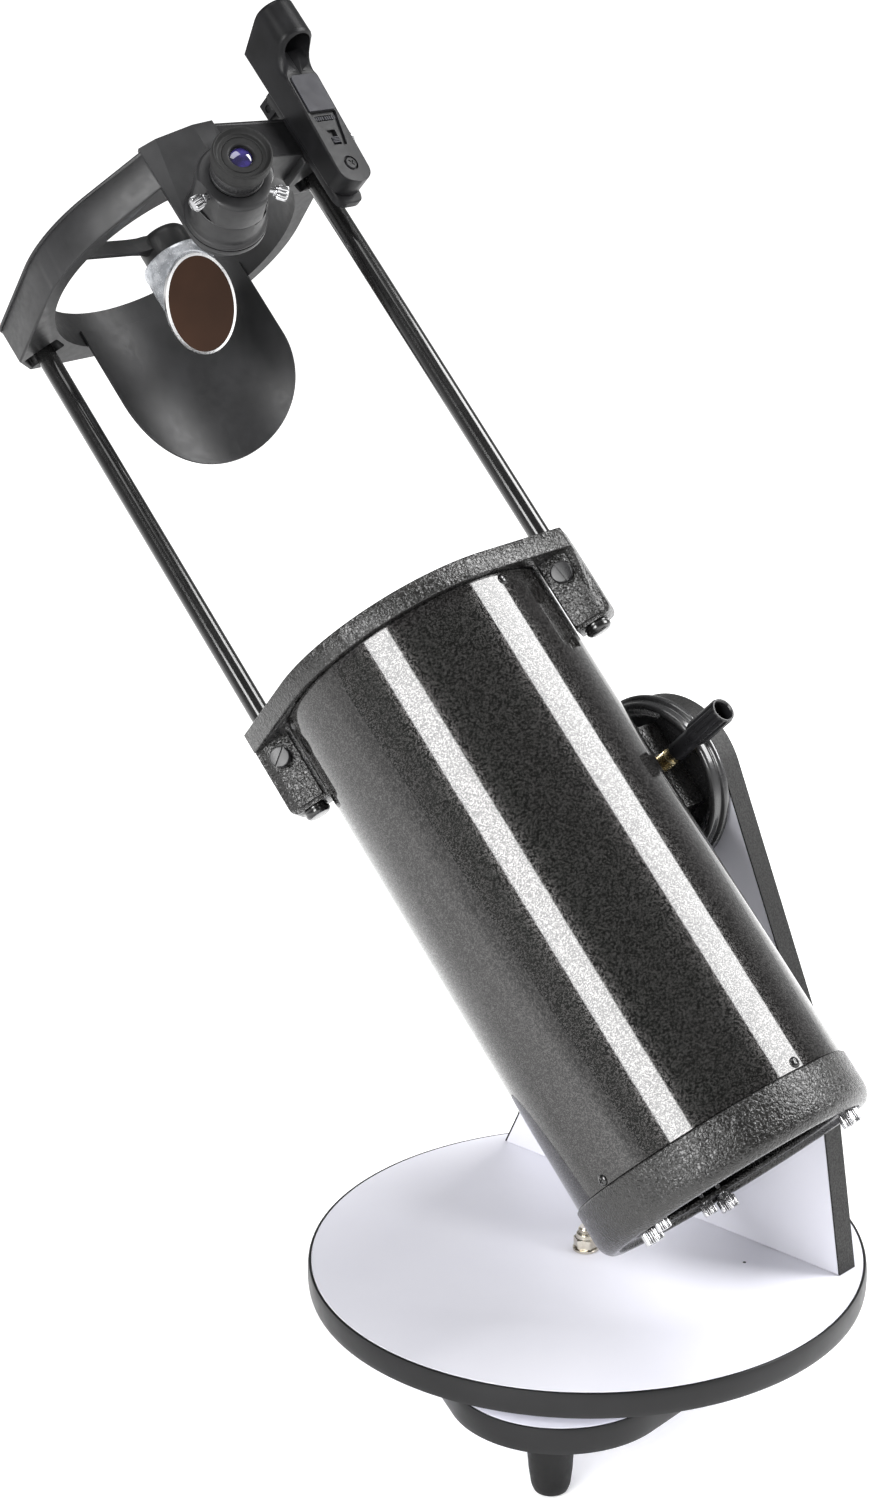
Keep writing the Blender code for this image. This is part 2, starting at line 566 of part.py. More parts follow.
def build_light_shield():
    """A thin curved tongue that hangs opposite the focuser, with a rounded lower end."""
    top = CAGE_LOW + 0.0100
    depth = top - SHIELD_LOW
    shell = bpy.data.meshes.new("light_shield")
    form = bmesh.new()
    columns, rows = 24, 9
    grid = []
    for i in range(columns + 1):
        across = -1 + 2 * i / columns
        angle = math.radians(SHIELD_ANGLE + SHIELD_HALF_ANGLE * math.sin(across * math.pi / 2))
        reach = depth * (0.50 + 0.50 * math.cos(across * math.pi / 2))
        column = []
        for j in range(rows):
            height = top - reach * j / (rows - 1)
            column.append(form.verts.new((SHIELD_RADIUS * math.cos(angle), SHIELD_RADIUS * math.sin(angle),
                                          height)))
        grid.append(column)
    for left, right in zip(grid, grid[1:]):
        for j in range(rows - 1):
            form.faces.new((left[j], left[j + 1], right[j + 1], right[j]))
    form.to_mesh(shell)
    form.free()
    smooth(shell)
    item = add_object("light_shield", shell, "black_satin", CAGE)
    solidify = item.modifiers.new("thickness", "SOLIDIFY")
    solidify.thickness = 0.0014
    solidify.offset = -1.0


# ---------------------------------------------------------------- the focuser and eyepiece
def build_focuser():
    centre = (0, 0, FOCUS_STATION)
    housing = [(0.0258, PAD_FACE + GAP), (0.0258, PAD_FACE + 0.0020), (0.0248, PAD_FACE + 0.0030),
               (0.0246, PAD_FACE + 0.0200), (0.0238, PAD_FACE + 0.0215), (0.0222, PAD_FACE + 0.0215),
               (0.0222, PAD_FACE + GAP)]
    turned("focuser_housing", housing[::-1], "black_satin", CAGE, centre, (0, 90, 0), 40, closed=True)
    ring("focuser_sleeve", 0.0197, 0.0219, 0.0935, PAD_FACE + 0.0220, "black_satin", CAGE, centre,
         (0, 90, 0), 40)
    rim = PAD_FACE + 0.0452
    holder = [(0.0194, 0.0950), (0.0194, PAD_FACE + 0.0224), (0.0242, PAD_FACE + 0.0224),
              (0.0242, rim - 0.0012), (0.0230, rim), (0.0162, rim), (0.0162, 0.0950)]
    body = turned("eyepiece_holder", holder[::-1], "black_satin", CAGE, centre, (0, 90, 0), 40, closed=True)
    for number, angle in enumerate(THUMB_ANGLES, 1):
        place = (THUMB_HEIGHT, 0, FOCUS_STATION)
        combine(body, box(f"holder_flat_{number}", (-0.0300, -0.0300, HOLDER_FLAT), (0.0300, 0.0300, 0.0400),
                          None, CAGE, place, (angle, 0, 0)))
        combine(body, rod(f"thumb_bore_{number}", 0.0023, 0.0150, 0.0300, None, CAGE, place, (angle, 0, 0)))
        screw = [(0, 0.0330), (0.0040, 0.0330), (0.0048, 0.0322), (0.0048, 0.0250), (0.0030, 0.0242),
                 (0.0020, 0.0240), (0.0020, 0.0168), (0, 0.0168)]
        turned(f"thumbscrew_{number}", screw, "chrome", CAGE, place, (angle, 0, 0), 20)

    ring("eyepiece_barrel", 0.0145, 0.0158, 0.1150, rim, "chrome", CAGE, centre, (0, 90, 0), 32)
    face = rim + GAP
    cup_low = face + 0.0106
    cup_high = PAD_FACE + 0.0692
    neck = cup_high - 0.0064
    eye = [(0.0144, face), (0.0160, face), (0.0165, face + 0.0010), (0.0165, face + 0.0098),
           (0.0158, face + 0.0103), (0.0149, face + 0.0103), (0.0149, neck), (0.0070, neck),
           (0.0070, neck - 0.0050), (0.0130, neck - 0.0075)]
    turned("eyepiece_body", eye[::-1], "black_satin", CAGE, centre, (0, 90, 0), 32, closed=True)
    cup = [(0.0152, cup_low), (0.0172, cup_low), (0.0184, cup_low + 0.0035), (0.0184, cup_high - 0.0011),
           (0.0178, cup_high), (0.0170, cup_high), (0.0150, cup_high - 0.0034), (0.0074, cup_high - 0.0042),
           (0.0074, cup_high - 0.0061), (0.0152, cup_high - 0.0061)]
    turned("eyecup", cup[::-1], "black_rubber", CAGE, centre, (0, 90, 0), 32, closed=True)
    top = cup_high - 0.0052
    lens = [(0, top - 0.0036), (0.0040, top - 0.0039), (0.0067, top - 0.0044), (0.0067, top - 0.0014),
            (0.0040, top - 0.0003), (0, top)]
    turned("eye_lens", lens[::-1], "glass", CAGE, centre, (0, 90, 0), 24)


# ---------------------------------------------------------------- the red-dot finder
def build_finder():
    """A red-dot finder on its own foot; own Y runs downwards here, so heights are negative."""
    middle = (FINDER_SIDE, 0, 0)
    eye = (FINDER_SIDE, -FINDER_EYE, 0)
    deck = make_frame("finder_deck", OPTICS, (FINDER_SIDE, -FINDER_DECK, FINDER_DECK_STATION),
                      (FINDER_DECK_SLOPE, 0, 0))
    rise = (BROW_STATION - FINDER_DECK_STATION) * math.tan(math.radians(FINDER_DECK_SLOPE))
    brow = make_frame("finder_brow", OPTICS, (FINDER_SIDE, -FINDER_DECK - rise, BROW_STATION), (BROW_SLOPE, 0, 0))
    chin = make_frame("finder_chin", OPTICS, (FINDER_SIDE, -FINDER_FOOT, CHIN_STATION), (CHIN_SLOPE, 0, 0))
    foot = box("finder_base", (-0.0110, -FINDER_FOOT + GAP, 0.3960), (0.0110, -0.0998, 0.4870),
               "black_satin", OPTICS, middle)
    combine(foot, box("finder_hook", (-0.0110, -0.1010, 0.4740), (0.0110, -0.0910, 0.4870), None, OPTICS,
                      middle), "UNION")
    body = box("finder_body", (-FINDER_HALF, -FINDER_EYE, 0.4010), (FINDER_HALF, -FINDER_FOOT, HOOD_FRONT),
               "black_satin", OPTICS, middle, bevel=0.0012)
    combine(body, rod("finder_hood", FINDER_HALF - 0.0001, BROW_STATION + 0.0010, HOOD_FRONT - 0.0002, None,
                      OPTICS, eye, sides=32), "UNION")
    combine(body, box("deck_cut", (-0.0300, -0.0300, -0.0700), (0.0300, 0, 0.0345), None, deck))
    combine(body, box("brow_cut", (-0.0300, -0.0300, 0), (0.0300, 0, 0.0400), None, brow))
    combine(body, box("chin_cut", (-0.0300, 0, -0.0200), (0.0300, 0.0300, 0.0290), None, chin))
    combine(body, rod("finder_eye", 0.0100, 0.4700, 0.5400, None, OPTICS, eye, sides=24))
    combine(body, box("battery_pocket", (-0.0088, -0.0050, 0.0050), (0.0088, 0.0045, 0.0300), None, deck))
    rod("finder_window", 0.0097, 0.5130, 0.5150, "glass", OPTICS, eye, sides=24)
    box("finder_battery_cover", (-0.0112, -0.0013, 0.0040), (0.0112, -GAP, 0.0312), "grey_panel", deck)
    box("finder_switch", (-0.0045, -0.0022, -0.0190), (0.0045, -GAP, -0.0105), "black_satin", deck)
    rod("finder_elevation_wheel", 0.0050, GAP, 0.0025, "black_satin", deck, (0, 0, -0.0355), (90, 0, 0), 24)
    rod("finder_azimuth_wheel", 0.0060, FINDER_HALF + GAP, 0.0172, "chrome", deck, (0, 0.0075, -0.0160),
        (0, 90, 0), 24)


build_ground()
build_turntable()
build_altitude_hub()
build_dovetail_knob()
build_tube()
build_mirror_cell()
build_rod_screws()
build_rods()
build_cage_ring()
build_spider()
build_light_shield()
build_focuser()
build_finder()
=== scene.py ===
"""The looks of a collapsible table-top Dobsonian reflector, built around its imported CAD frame."""
import json
import math

import bmesh
import bpy
from mathutils import Matrix, Vector


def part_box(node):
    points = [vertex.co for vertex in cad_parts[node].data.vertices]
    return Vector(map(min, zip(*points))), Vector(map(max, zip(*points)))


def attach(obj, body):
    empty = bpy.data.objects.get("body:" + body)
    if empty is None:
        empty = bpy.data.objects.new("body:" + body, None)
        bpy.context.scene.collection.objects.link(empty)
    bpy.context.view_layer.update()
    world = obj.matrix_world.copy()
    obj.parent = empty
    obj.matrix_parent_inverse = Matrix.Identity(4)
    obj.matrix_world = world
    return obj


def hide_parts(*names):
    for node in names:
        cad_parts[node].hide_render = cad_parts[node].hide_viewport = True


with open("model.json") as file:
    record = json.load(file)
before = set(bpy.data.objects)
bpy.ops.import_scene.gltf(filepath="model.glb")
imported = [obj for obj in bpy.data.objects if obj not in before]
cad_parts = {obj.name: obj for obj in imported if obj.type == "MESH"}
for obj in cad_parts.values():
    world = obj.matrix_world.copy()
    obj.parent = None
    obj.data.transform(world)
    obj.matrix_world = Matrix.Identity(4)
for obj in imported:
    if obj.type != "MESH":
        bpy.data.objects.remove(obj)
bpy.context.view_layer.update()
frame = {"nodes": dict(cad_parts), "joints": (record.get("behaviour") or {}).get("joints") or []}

# ---------------------------------------------------------------- frames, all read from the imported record
JOINTS = {joint["name"]: joint for joint in frame["joints"]}
WORLD_X = Vector((1, 0, 0))
WORLD_Y = Vector((0, 1, 0))


def axis_of(joint):
    return Vector(JOINTS[joint]["axis"]).normalized()


def point_of(joint):
    return Vector(JOINTS[joint]["pos_m"])


def axes_at(origin, x_axis, z_axis):
    """A matrix whose own X and Z run along the two given directions."""
    matrix = Matrix((x_axis, z_axis.cross(x_axis), z_axis)).transposed().to_4x4()
    matrix.translation = origin
    return matrix


def span(node, matrix):
    """The lowest and highest corner of a CAD node, in the given frame."""
    inverse = matrix.inverted()
    points = [inverse @ vert.co for vert in frame["nodes"][node].data.vertices]
    low = Vector(min(point[i] for point in points) for i in range(3))
    high = Vector(max(point[i] for point in points) for i in range(3))
    return low, high


def middle(node):
    low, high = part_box(node)
    return (low + high) / 2


ALTITUDE = point_of("altitude_tilt")
AZIMUTH = point_of("azimuth_turn")
SKYWARD = axis_of("tube_balance")
TUBE_CENTRE = Vector((middle("main_tube").x, ALTITUDE.y, ALTITUDE.z))
BASE = Matrix.Translation((AZIMUTH.x, AZIMUTH.y, 0))
PIVOT = axes_at(ALTITUDE, WORLD_Y, WORLD_X)                         # own X forwards, own Y up
OPTICS = axes_at(TUBE_CENTRE, WORLD_X, SKYWARD)                     # own Y away from the tube's upper side
RODS = axes_at(TUBE_CENTRE, axis_of("rod_lock_turn_1"), SKYWARD)    # own Y towards the upper rod
CAGE = axes_at(TUBE_CENTRE, axis_of("focus_turn"), SKYWARD)         # own X towards the eyepiece
FOCUS_STATION = (point_of("focus_turn") - TUBE_CENTRE).dot(SKYWARD)
FOCUS_ORIGIN = TUBE_CENTRE + SKYWARD * FOCUS_STATION
FOCUS = axes_at(FOCUS_ORIGIN, SKYWARD, axis_of("focus_turn"))       # own Z out through the eyepiece
FINDER = axes_at(TUBE_CENTRE + WORLD_X * (middle("finder_body").x - TUBE_CENTRE.x), -WORLD_X, SKYWARD)


# ---------------------------------------------------------------- mesh helpers
def make_piece(name, form, matrix, smooth_angle=32):
    """A mesh object from a bmesh in the given frame, its faces turned outwards."""
    bmesh.ops.remove_doubles(form, verts=form.verts, dist=1e-7)
    bmesh.ops.recalc_face_normals(form, faces=form.faces)
    mesh = bpy.data.meshes.new(name)
    form.to_mesh(mesh)
    form.free()
    mesh.transform(matrix)
    piece = bpy.data.objects.new(name, mesh)
    bpy.context.scene.collection.objects.link(piece)
    shade(piece, smooth_angle)
    return piece


def shade(piece, angle=32):
    piece.data.shade_smooth()
    piece.data.set_sharp_from_angle(angle=math.radians(angle))


def skin(name, rings, matrix, loop=False):
    """A closed surface over rings of equally many points: capped at both ends, or looped."""
    form = bmesh.new()
    rows = [[form.verts.new(point) for point in ring] for ring in rings]
    pairs = list(zip(rows, rows[1:]))
    if loop:
        pairs.append((rows[-1], rows[0]))
    for first, second in pairs:
        for i in range(len(first)):
            j = (i + 1) % len(first)
            form.faces.new((first[i], first[j], second[j], second[i]))
    if not loop:
        form.faces.new(rows[0])
        form.faces.new(rows[-1])
    return make_piece(name, form, matrix)


def circle(radius, height, sides, centre=(0, 0)):
    points = []
    for i in range(sides):
        angle = 2 * math.pi * i / sides
        points.append((centre[0] + radius * math.cos(angle), centre[1] + radius * math.sin(angle), height))
    return points


def lathe(name, profile, matrix, sides=128, loop=False, corner=0.0, centre=(0, 0)):
    """A (radius, height) profile spun around its own Z, with its corners rounded."""
    if corner:
        profile = rounded(profile, corner, loop)
    rings = [circle(max(radius, 1e-5), height, sides, centre) for radius, height in profile]
    return skin(name, rings, matrix, loop)


def plug(name, radius, top, bottom, *placing, **extra):
    """A plain cylinder between two heights, mostly for cutting bores."""
    return lathe(name, [(0, top), (radius, top), (radius, bottom), (0, bottom)], *placing, **extra)


def rounded(points, radius, closed=True, steps=3):
    """The outline with each corner replaced by a short curve; a third value sets a corner's own radius."""
    result = []
    count = len(points)
    for i, point in enumerate(points):
        here = Vector(point[:2])
        if not closed and i in (0, count - 1):
            result.append(tuple(here))
            continue
        before = Vector(points[i - 1][:2]) - here
        after = Vector(points[(i + 1) % count][:2]) - here
        reach = point[2] if len(point) > 2 else radius
        reach = min(reach, before.length * 0.49, after.length * 0.49)
        if reach < 1e-5:
            result.append(tuple(here))
            continue
        start = here + before.normalized() * reach
        end = here + after.normalized() * reach
        for k in range(steps + 1):
            t = k / steps
            result.append(tuple(start * (1 - t) ** 2 + here * (2 * t * (1 - t)) + end * t * t))
    return result


def hull(points):
    """The convex outline around a set of (x, y) points."""
    points = sorted(set(points))

    def half(run):
        chain = []
        for point in run:
            while len(chain) > 1 and turn_of(chain[-2], chain[-1], point) <= 1e-12:
                chain.pop()
            chain.append(point)
        return chain[:-1]

    return half(points) + half(points[::-1])


def turn_of(a, b, c):
    return (b[0] - a[0]) * (c[1] - a[1]) - (b[1] - a[1]) * (c[0] - a[0])


def prism(name, outline, low, high, matrix, holes=()):
    """A flat outline, with any holes, from low to high along its own Z."""
    curve = bpy.data.curves.new(name, "CURVE")
    curve.dimensions = "2D"
    curve.fill_mode = "BOTH"
    curve.extrude = (high - low) / 2
    for run in (outline, *holes):
        spline = curve.splines.new("POLY")
        spline.points.add(len(run) - 1)
        for point, place in zip(spline.points, run):
            point.co = (place[0], place[1], 0, 1)
        spline.use_cyclic_u = True
    guide = bpy.data.objects.new(name, curve)
    bpy.context.scene.collection.objects.link(guide)
    graph = bpy.context.evaluated_depsgraph_get()
    mesh = bpy.data.meshes.new_from_object(guide.evaluated_get(graph))
    bpy.data.objects.remove(guide, do_unlink=True)
    form = bmesh.new()
    form.from_mesh(mesh)
    bmesh.ops.translate(form, vec=(0, 0, (high + low) / 2), verts=form.verts)
    bpy.data.meshes.remove(mesh)
    return make_piece(name, form, matrix)


def block(name, low, high, matrix):
    outline = [(low[0], low[1]), (high[0], low[1]), (high[0], high[1]), (low[0], high[1])]
    return prism(name, outline, low[2], high[2], matrix)


def bake(piece):
    """The piece's modifiers, applied to its mesh."""
    graph = bpy.context.evaluated_depsgraph_get()
    mesh = bpy.data.meshes.new_from_object(piece.evaluated_get(graph))
    old = piece.data
    piece.modifiers.clear()
    piece.data = mesh
    mesh.name = piece.name
    bpy.data.meshes.remove(old)
    return piece


def combine(piece, tool, operation="DIFFERENCE"):
    """The tool cut away from the piece, or joined onto it; the tool is then removed."""
    modifier = piece.modifiers.new("combine", "BOOLEAN")
    modifier.operation = operation
    modifier.solver = "EXACT"
    modifier.object = tool
    bake(piece)
    bpy.data.objects.remove(tool, do_unlink=True)
    shade(piece)
    return piece


def soften(piece, width, segments=2, angle=35):
    """Rounded edges wherever two faces meet at more than the angle."""
    bevel = piece.modifiers.new("soft_edges", "BEVEL")
    bevel.width = width
    bevel.segments = segments
    bevel.limit_method = "ANGLE"
    bevel.angle_limit = math.radians(angle)
    bevel.harden_normals = True
    bevel.use_clamp_overlap = True
    piece.data.shade_smooth()
    bake(piece)
    return piece


def ribbed(radius, depth, count, height, points_each=6):
    """A closed ring of shallow grip ribs."""
    points = []
    total = count * points_each
    for i in range(total):
        angle = 2 * math.pi * i / total
        wave = 0.5 + 0.5 * math.cos(2 * math.pi * i / points_each)
        reach = radius - depth * (1 - wave ** 0.6)
        points.append((reach * math.cos(angle), reach * math.sin(angle), height))
    return points


def merge(name, pieces):
    """Several meshes as one object."""
    form = bmesh.new()
    for piece in pieces:
        form.from_mesh(piece.data)
        bpy.data.objects.remove(piece, do_unlink=True)
    mesh = bpy.data.meshes.new(name)
    form.to_mesh(mesh)
    form.free()
    piece = bpy.data.objects.new(name, mesh)
    bpy.context.scene.collection.objects.link(piece)
    shade(piece)
    return piece


# ---------------------------------------------------------------- materials
def new_material(name, roughness, metallic):
    material = bpy.data.materials.new(name)
    material.use_nodes = True
    shader = material.node_tree.nodes["Principled BSDF"]
    shader.inputs["Roughness"].default_value = roughness
    shader.inputs["Metallic"].default_value = metallic
    return material, material.node_tree.nodes, material.node_tree.links, shader


def place_noise(nodes, links, scale, detail=2.0, kind="ShaderNodeTexNoise"):
    """A procedural texture laid out in metres on the piece itself."""
    place = nodes.get("place") or nodes.new("ShaderNodeTexCoord")
    place.name = "place"
    texture = nodes.new(kind)
    texture.inputs["Scale"].default_value = scale
    if "Detail" in texture.inputs:
        texture.inputs["Detail"].default_value = detail
    links.new(place.outputs["Object"], texture.inputs["Vector"])
    return texture


def blend_colour(nodes, links, factor, dark, light):
    ramp = nodes.new("ShaderNodeValToRGB")
    ramp.color_ramp.elements[0].position = 0.35
    ramp.color_ramp.elements[1].position = 0.65
    ramp.color_ramp.elements[0].color = (*dark, 1)
    ramp.color_ramp.elements[1].color = (*light, 1)
    links.new(factor, ramp.inputs["Fac"])
    return ramp.outputs["Color"]


def rescale(nodes, links, value, low, high, from_low=0.3, from_high=0.7):
    node = nodes.new("ShaderNodeMapRange")
    node.inputs["From Min"].default_value = from_low
    node.inputs["From Max"].default_value = from_high
    node.inputs["To Min"].default_value = low
    node.inputs["To Max"].default_value = high
    links.new(value, node.inputs["Value"])
    return node.outputs["Result"]


def add_bump(nodes, links, shader, height, strength, distance, before=None):
    node = nodes.new("ShaderNodeBump")
    node.inputs["Strength"].default_value = strength
    node.inputs["Distance"].default_value = distance
    links.new(height, node.inputs["Height"])
    if before:
        links.new(before, node.inputs["Normal"])
    links.new(node.outputs["Normal"], shader.inputs["Normal"])
    return node.outputs["Normal"]


def surface(name, dark, light, roughness, metallic=0.0, spread=0.05, mottle=30, grain=1500, depth=0.00005,
            strength=0.3, coat=0.0, coat_ior=1.5, coat_roughness=0.03, specular=0.5):
    """A finish with mottled colour, uneven gloss and a fine grain."""
    material, nodes, links, shader = new_material(name, roughness, metallic)
    cloud = place_noise(nodes, links, mottle, 4.0)
    links.new(blend_colour(nodes, links, cloud.outputs["Fac"], dark, light), shader.inputs["Base Color"])
    wear = place_noise(nodes, links, mottle * 5, 3.0)
    gloss = rescale(nodes, links, wear.outputs["Fac"], max(roughness - spread, 0.01), roughness + spread)
    links.new(gloss, shader.inputs["Roughness"])
    fine = place_noise(nodes, links, grain, 2.0)
    add_bump(nodes, links, shader, fine.outputs["Fac"], strength, depth)
    shader.inputs["Coat Weight"].default_value = coat
    shader.inputs["Coat IOR"].default_value = coat_ior
    shader.inputs["Coat Roughness"].default_value = coat_roughness
    shader.inputs["Specular IOR Level"].default_value = specular
    return material


def enamel(name):
    """Gloss black paint with a fine metallic sparkle under its clear coat."""
    material, nodes, links, shader = new_material(name, 0.22, 0.0)
    cells = place_noise(nodes, links, 1500, kind="ShaderNodeTexVoronoi")
    flake = nodes.new("ShaderNodeSeparateColor")
    links.new(cells.outputs["Color"], flake.inputs["Color"])
    rare = rescale(nodes, links, flake.outputs["Red"], 0.0, 1.0, 0.9985, 0.9995)
    colour = blend_colour(nodes, links, rare, (0.0030, 0.0027, 0.0025), (0.060, 0.058, 0.057))
    links.new(colour, shader.inputs["Base Color"])
    links.new(rescale(nodes, links, rare, 0.0, 0.6, 0.0, 1.0), shader.inputs["Metallic"])
    shader.inputs["Specular IOR Level"].default_value = 0.0
    shader.inputs["Coat Weight"].default_value = 1.0
    shader.inputs["Coat IOR"].default_value = 1.5
    shader.inputs["Coat Roughness"].default_value = 0.06
    return material


def leathered(name):
    """A casting painted black with a wrinkled, leather-like finish."""
    material, nodes, links, shader = new_material(name, 0.3, 0.0)
    cloud = place_noise(nodes, links, 60, 3.0)
    colour = blend_colour(nodes, links, cloud.outputs["Fac"], (0.0060, 0.0057, 0.0055),
                          (0.010, 0.0095, 0.009))
    links.new(colour, shader.inputs["Base Color"])
    wrinkle = place_noise(nodes, links, 520, 1.2)
    wrinkle.inputs["Distortion"].default_value = 1.0
    links.new(rescale(nodes, links, wrinkle.outputs["Fac"], 0.22, 0.34), shader.inputs["Roughness"])
    bumps = add_bump(nodes, links, shader, wrinkle.outputs["Fac"], 0.8, 0.0011)
    links.new(bumps, shader.inputs["Coat Normal"])
    shader.inputs["Specular IOR Level"].default_value = 0.35
    shader.inputs["Coat Weight"].default_value = 0.4
    shader.inputs["Coat IOR"].default_value = 1.5
    shader.inputs["Coat Roughness"].default_value = 0.14
    return material


def pebbled(name):
    """Black edge banding with a coarse pebble grain."""
    material, nodes, links, shader = new_material(name, 0.5, 0.0)
    pebble = place_noise(nodes, links, 780, 2.5)
    colour = blend_colour(nodes, links, pebble.outputs["Fac"], (0.009, 0.009, 0.009), (0.024, 0.0235, 0.023))
    links.new(colour, shader.inputs["Base Color"])
    links.new(rescale(nodes, links, pebble.outputs["Fac"], 0.62, 0.42), shader.inputs["Roughness"])
    add_bump(nodes, links, shader, pebble.outputs["Fac"], 0.45, 0.0004)
    shader.inputs["Specular IOR Level"].default_value = 0.3
    return material


def laminate(name):
    """White melamine board: smooth, faintly mottled, with a barely visible dimple grain."""
    return surface(name, (0.735, 0.735, 0.80), (0.765, 0.765, 0.825), 0.42, spread=0.05, mottle=9, grain=1400,
                   depth=0.00006, strength=0.12, specular=0.35)


MATERIALS = {
    "tube_enamel": enamel("tube_enamel"),
    "leather_casting": leathered("leather_casting"),
    "pebbled_band": pebbled("pebbled_band"),
    "white_laminate": laminate("white_laminate"),
    "edge_moulding": surface("edge_moulding", (0.0065, 0.0065, 0.007), (0.010, 0.010, 0.011), 0.36, mottle=14,
                             grain=1100, depth=0.00005, strength=0.2, specular=0.30),
    "tube_inside": surface("tube_inside", (0.006, 0.006, 0.006), (0.012, 0.012, 0.012), 0.78, mottle=40,
                           grain=900, depth=0.0002, strength=0.5, specular=0.2),
    "satin_plastic": surface("satin_plastic", (0.0085, 0.0085, 0.009), (0.014, 0.014, 0.015), 0.42, mottle=45,
                             grain=2200, depth=0.00008, strength=0.3, specular=0.34),
    "smooth_plastic": surface("smooth_plastic", (0.008, 0.008, 0.009), (0.012, 0.012, 0.013), 0.30, mottle=30,
                              grain=1800, depth=0.00004, strength=0.15, specular=0.40),
    "gloss_dish": surface("gloss_dish", (0.020, 0.020, 0.021), (0.028, 0.028, 0.029), 0.26, mottle=25,
                          grain=900, depth=0.00003, strength=0.15, coat=0.7, coat_roughness=0.10),
    "rod_gloss": surface("rod_gloss", (0.004, 0.004, 0.004), (0.007, 0.007, 0.007), 0.25, mottle=50,
                         grain=900,
                         depth=0.00002, strength=0.05, coat=1.0, coat_ior=1.5, coat_roughness=0.10,
                         specular=0.2),
    "rubber": surface("rubber", (0.0060, 0.0060, 0.0060), (0.010, 0.010, 0.010), 0.58, mottle=60, grain=1600,
                      depth=0.0001, strength=0.35, specular=0.25),
    "chrome": surface("chrome", (0.38, 0.38, 0.39), (0.50, 0.50, 0.51), 0.22, 1.0, mottle=90, grain=700,
                      depth=0.00001, strength=0.05),
    "nickel": surface("nickel", (0.50, 0.46, 0.38), (0.66, 0.62, 0.54), 0.24, 1.0, mottle=180, grain=900,
                      depth=0.00003, strength=0.1),
    "brass": surface("brass", (0.46, 0.38, 0.22), (0.66, 0.57, 0.36), 0.24, 1.0, mottle=200, grain=900,
                     depth=0.00002, strength=0.08),
    "cast_silver": surface("cast_silver", (0.34, 0.355, 0.38), (0.62, 0.64, 0.67), 0.24, 0.55, mottle=170,
                           grain=420, depth=0.0003, strength=0.35),
    "bright_rim": surface("bright_rim", (0.66, 0.66, 0.67), (0.78, 0.78, 0.78), 0.30, 1.0, mottle=120,
                          grain=1500, depth=0.00004, strength=0.2),
    "flat_mirror": surface("flat_mirror", (0.026, 0.0155, 0.0115), (0.034, 0.019, 0.0135), 0.03, 1.0,
                           spread=0.01,
                           mottle=20, grain=300, depth=0.00001, strength=0.02),
    "main_mirror": surface("main_mirror", (0.86, 0.87, 0.88), (0.90, 0.91, 0.92), 0.02, 1.0, spread=0.008,
                           mottle=20, grain=300, depth=0.00001, strength=0.02),
    "lens_violet": surface("lens_violet", (0.010, 0.008, 0.035), (0.030, 0.022, 0.13), 0.05, mottle=160,
                           grain=300, depth=0.00001, strength=0.05, coat=1.0, coat_ior=1.7),
    "window_glass": surface("window_glass", (0.02, 0.02, 0.03), (0.05, 0.04, 0.05), 0.05, mottle=120,
                            grain=300, depth=0.00001, strength=0.05, coat=1.0),
    "finder_plastic": surface("finder_plastic", (0.0070, 0.0070, 0.0075), (0.011, 0.011, 0.012), 0.36,
                              mottle=60,
                              grain=2400, depth=0.00006, strength=0.25, specular=0.13),
    "grey_panel": surface("grey_panel", (0.022, 0.022, 0.026), (0.029, 0.029, 0.034), 0.38, mottle=40,
                          grain=1900, depth=0.00003, strength=0.1, specular=0.10),
    "pale_glide": surface("pale_glide", (0.74, 0.74, 0.71), (0.82, 0.82, 0.79), 0.5, mottle=60, grain=900,
                          depth=0.00006, strength=0.25),
}


def fit(piece, material, slot, body, *replaced):
    """Gives the piece its material and its body, and hides the CAD nodes it stands for; the slot is not used.
    """
    piece.data.materials.clear()
    piece.data.materials.append(MATERIALS[material])
    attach(piece, body)
    if replaced:
        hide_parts(*replaced)
    return piece


# ---------------------------------------------------------------- the ground board, its feet and the pivot
LOBE_ROUNDING = 0.0700


def lobe_angles():
    angles = []
    for number in (1, 2, 3):
        reach = middle(f"foot_{number}") - AZIMUTH
        angles.append(math.degrees(math.atan2(reach.y, reach.x)))
    return angles


def lobed(reach, rounding, height, count=37):
    """A triangle with widely rounded corners over the feet, as a ring of points."""
    points = []
    for angle in lobe_angles():
        centre = Vector((math.cos(math.radians(angle)), math.sin(math.radians(angle)))) * (reach - rounding)
        for i in range(count):
            turn = math.radians(angle - 60 + 120 * i / (count - 1))
            points.append((centre.x + rounding * math.cos(turn), centre.y + rounding * math.sin(turn),
                           height))
    return points


def moulding_section(low, high, thickness, bulge, steps=9):
    """(offset, height) points of a T-moulding's rounded outer side, from its top to its bottom."""
    centre = (low + high) / 2
    half = (high - low) / 2
    section = []
    for i in range(steps + 1):
        angle = math.pi * (0.5 - i / steps)
        section.append((thickness - bulge * (1 - math.cos(angle) ** 0.55), centre + half * math.sin(angle)))
    return section


